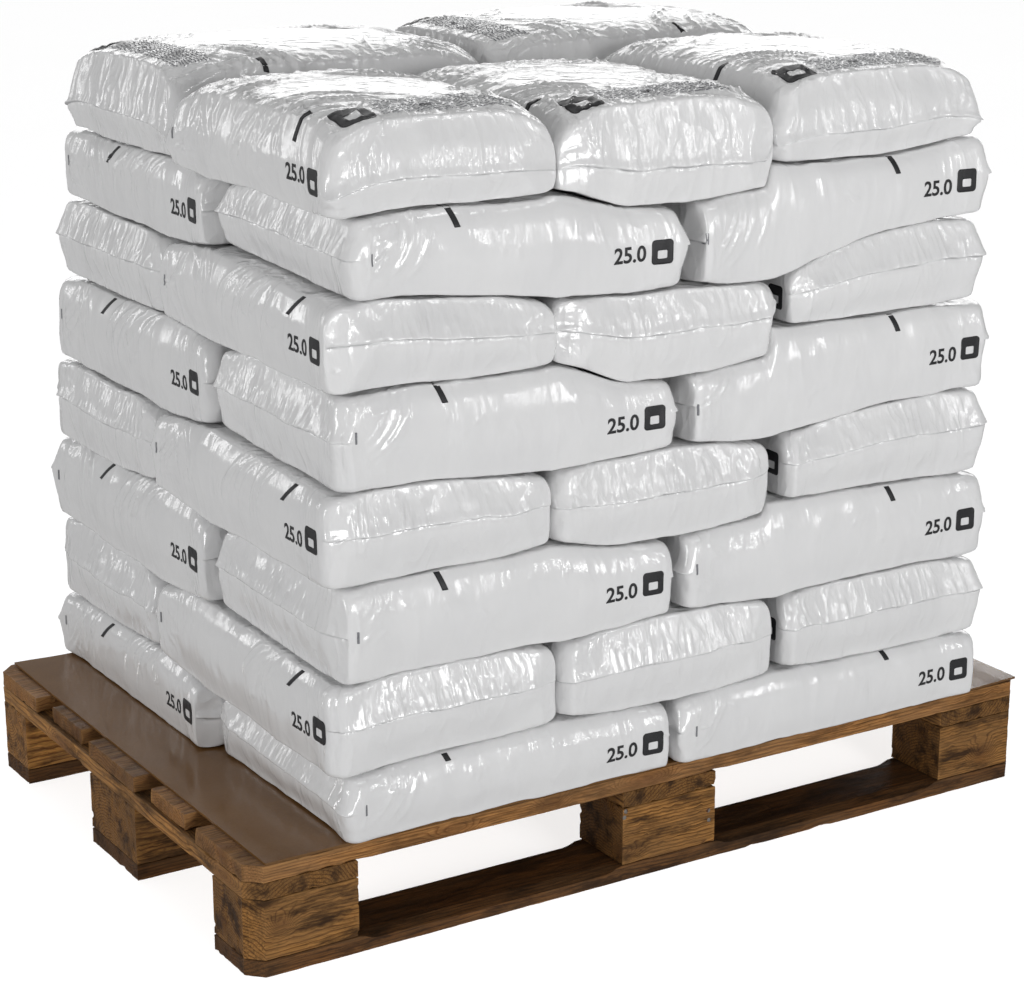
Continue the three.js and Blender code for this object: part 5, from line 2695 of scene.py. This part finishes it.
@dataclass
class Pallet:
    """The four-way block pallet: deck boards, stringers, blocks, ground boards and nails."""

    bevel_mm: tuple[float, float] = (7.0, 15.0)
    block_length_mm: float = 145.0
    half_length_mm: float = 600.0

    deck: WoodFinish = WoodFinish(
        "sawn_spruce_deck", early="#c28a4f", late="#8d5a2e", grey="#7d6750", dirt="#4a311b", worn="#cc9a62",
        greyness=0.3, dirtiness=0.6)
    blocks: WoodFinish = WoodFinish(
        "sawn_spruce_block", early="#bd8748", late="#704521", grey="#6d5439", dirt="#2c1a0b", worn="#b3844e",
        greyness=0.4, dirtiness=0.9)
    ground: WoodFinish = WoodFinish(
        "sawn_spruce_ground", early="#86592f", late="#563820", grey="#5d472f", dirt="#2a1a0d", worn="#9a724b",
        greyness=0.45, dirtiness=0.8)
    tones: tuple[tuple[str, float], ...] = (
        ("block_front_left", 0.06), ("block_middle_left", 0.05), ("block_back_left", 0.6),
        ("stringer_left", 0.1), ("deck_board_4", -0.2), ("deck_board_3", -0.2), ("deck_board_2", 0.25),
        ("deck_board_5", 0.25))
    knots: tuple[tuple[str, float, float, float, float], ...] = (
        ("block_front_right", 532.0, -400.0, 48.0, 30.0), ("block_front_right", 448.0, -400.0, 108.0, 16.0),
        ("deck_board_1", -180.0, -400.0, 133.0, 22.0), ("block_front_left", -560.0, -400.0, 66.0, 20.0))

    def timbers(self) -> list[tuple[Timber, str]]:
        """Lists every timber with the name of its slot.

        Returns:
            The timbers with their slots.
        """
        listed = []
        names = sorted(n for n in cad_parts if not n.startswith("sack_") and n != "brown_sheet")
        span = (self.block_length_mm / 2, self.half_length_mm - self.block_length_mm)
        spans = [span, (-span[1], -span[0])]
        for number, name in enumerate(names):
            parts = name.split("_")
            if name == "ground_board_middle_with_block":
                listed += self.middle_timbers(name, number)
                continue
            sy = {"front": -1, "back": 1}.get(parts[-1] if parts[0] == "ground" else parts[1], 0)
            if parts[0] == "deck":
                sy = {1: -1, 5: 1}.get(int(parts[-1]), 0)
                cuts = [(-1, sy), (1, sy)] if sy else []
                listed.append((Timber(name, number, 0, cuts, coarse_mm=20.0, fine_mm=6.0), "deck_wood"))
            elif parts[0] == "stringer":
                sx = {"left": -1, "right": 1}.get(parts[1], 0)
                cuts = [(sx, -1), (sx, 1)] if sx else []
                listed.append((Timber(name, number, 1, cuts, coarse_mm=12.0, fine_mm=6.0, chip_mm=5.0),
                               "block_wood"))
            elif parts[0] == "block":
                sx = {"left": -1, "right": 1}.get(parts[2], 0)
                cuts = [(sx, sy)] if sx and sy else []
                listed.append((Timber(name, number, 0, cuts, fine_mm=4.0, edge_mm=2.2, rough_mm=0.7,
                                      chip_mm=4.0), "block_wood"))
            else:
                listed.append((Timber(name, number, 0, [(-1, sy), (1, sy)], coarse_mm=9.0, fine_mm=6.0,
                                      edge_mm=2.4, bevel=self.bevel_mm, bevel_spans=spans, chip_mm=4.0),
                               "ground_wood"))
        return listed

    def middle_timbers(self, name: str, number: int) -> list[tuple[Timber, str]]:
        """Parts the solid of the middle ground board and the centre block into its two timbers.

        Args:
            name: The node of both.
            number: Its place in the list of timbers.

        Returns:
            The two timbers with their slots.
        """
        low, high = (np.array(corner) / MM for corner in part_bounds(name))
        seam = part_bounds("ground_board_front")[1][2] / MM
        beside = [np.array(corner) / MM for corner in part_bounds("block_front_middle")]
        board = (low, np.array([high[0], high[1], seam]))
        block = (np.array([beside[0][0], low[1], seam]), np.array([beside[1][0], high[1], high[2]]))
        return [(Timber(name, number, 0, coarse_mm=16.0, fine_mm=7.0, edge_mm=2.4,
                        part_name="ground_board_middle", part_box=board), "ground_wood"),
                (Timber(name, number + 50, 0, edge_mm=2.2, part_name="block_centre", part_box=block),
                 "block_wood")]

    def build(self) -> list[Thing]:
        """Makes every timber of the pallet.

        Returns:
            The timbers and the nails.
        """
        finishes = {"deck_wood": self.deck.material(), "block_wood": self.blocks.material(),
                    "ground_wood": self.ground.material()}
        tones = dict(self.tones)
        made = []
        for timber, slot in self.timbers():
            timber.tone = tones.get(timber.node, 0.0)
            timber.knots = [tuple(place) for node, *place in self.knots if node == timber.node]
            made.append(timber.build(finishes[slot], slot))
            LOG.info("sawed %s", timber.part_name or timber.node)
        return [*made, Nails().build()]


@dataclass
class Sheet:
    """The thin brown board under the load."""

    node: str = "brown_sheet"
    step_mm: float = 24.0
    lift_mm: float = 5.0
    right_reach_mm: float = 80.0
    left_lift_mm: float = 2.0
    left_reach_mm: tuple[float, float] = (70.0, 150.0)

    def build(self) -> Thing:
        """Makes the sheet, flat under the load and lifting a little at the corner past it.

        Returns:
            The sheet's object.
        """
        low, high = (np.array(corner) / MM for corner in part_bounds(self.node))
        middle, half = (low + high) / 2, (high - low) / 2
        lines = [np.linspace(-half[a], half[a], int(2 * half[a] / self.step_mm) + 1) for a in (0, 1)]
        points, faces = block_net([*lines, np.array([-half[2], half[2]])])
        right = smooth_step(half[0] - self.right_reach_mm, half[0], points[:, 0])
        lift = self.lift_mm * right * (0.4 + 0.6 * smooth_step(-half[1], half[1], points[:, 1]))
        along, across = self.left_reach_mm
        left = smooth_step(half[0] - along, half[0], -points[:, 0])
        left = left * smooth_step(half[1] - across, half[1], points[:, 1])
        points[:, 2] += lift + self.left_lift_mm * left
        sheet = mesh_object("sheet_board", points + middle, faces, BoardFinish().material(), smooth=False)
        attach(sheet, "root")
        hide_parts(self.node)
        LOG.info("cut the sheet")
        return sheet


def main() -> None:
    """Builds the studio, the pallet, the sheet and the load in order."""
    logging.basicConfig(level=logging.INFO, format="%(name)s: %(message)s")
    studio = Studio()
    studio.build()
    studio.light_pieces(ShinesOn.PALLET, [*Pallet().build(), Sheet().build()])
    load = Load()
    films = load.build()
    prints = Printing().build(load, films)
    studio.light_pieces(ShinesOn.LOAD, [*films.values(), *prints])


if __name__ == "__main__":
    main()
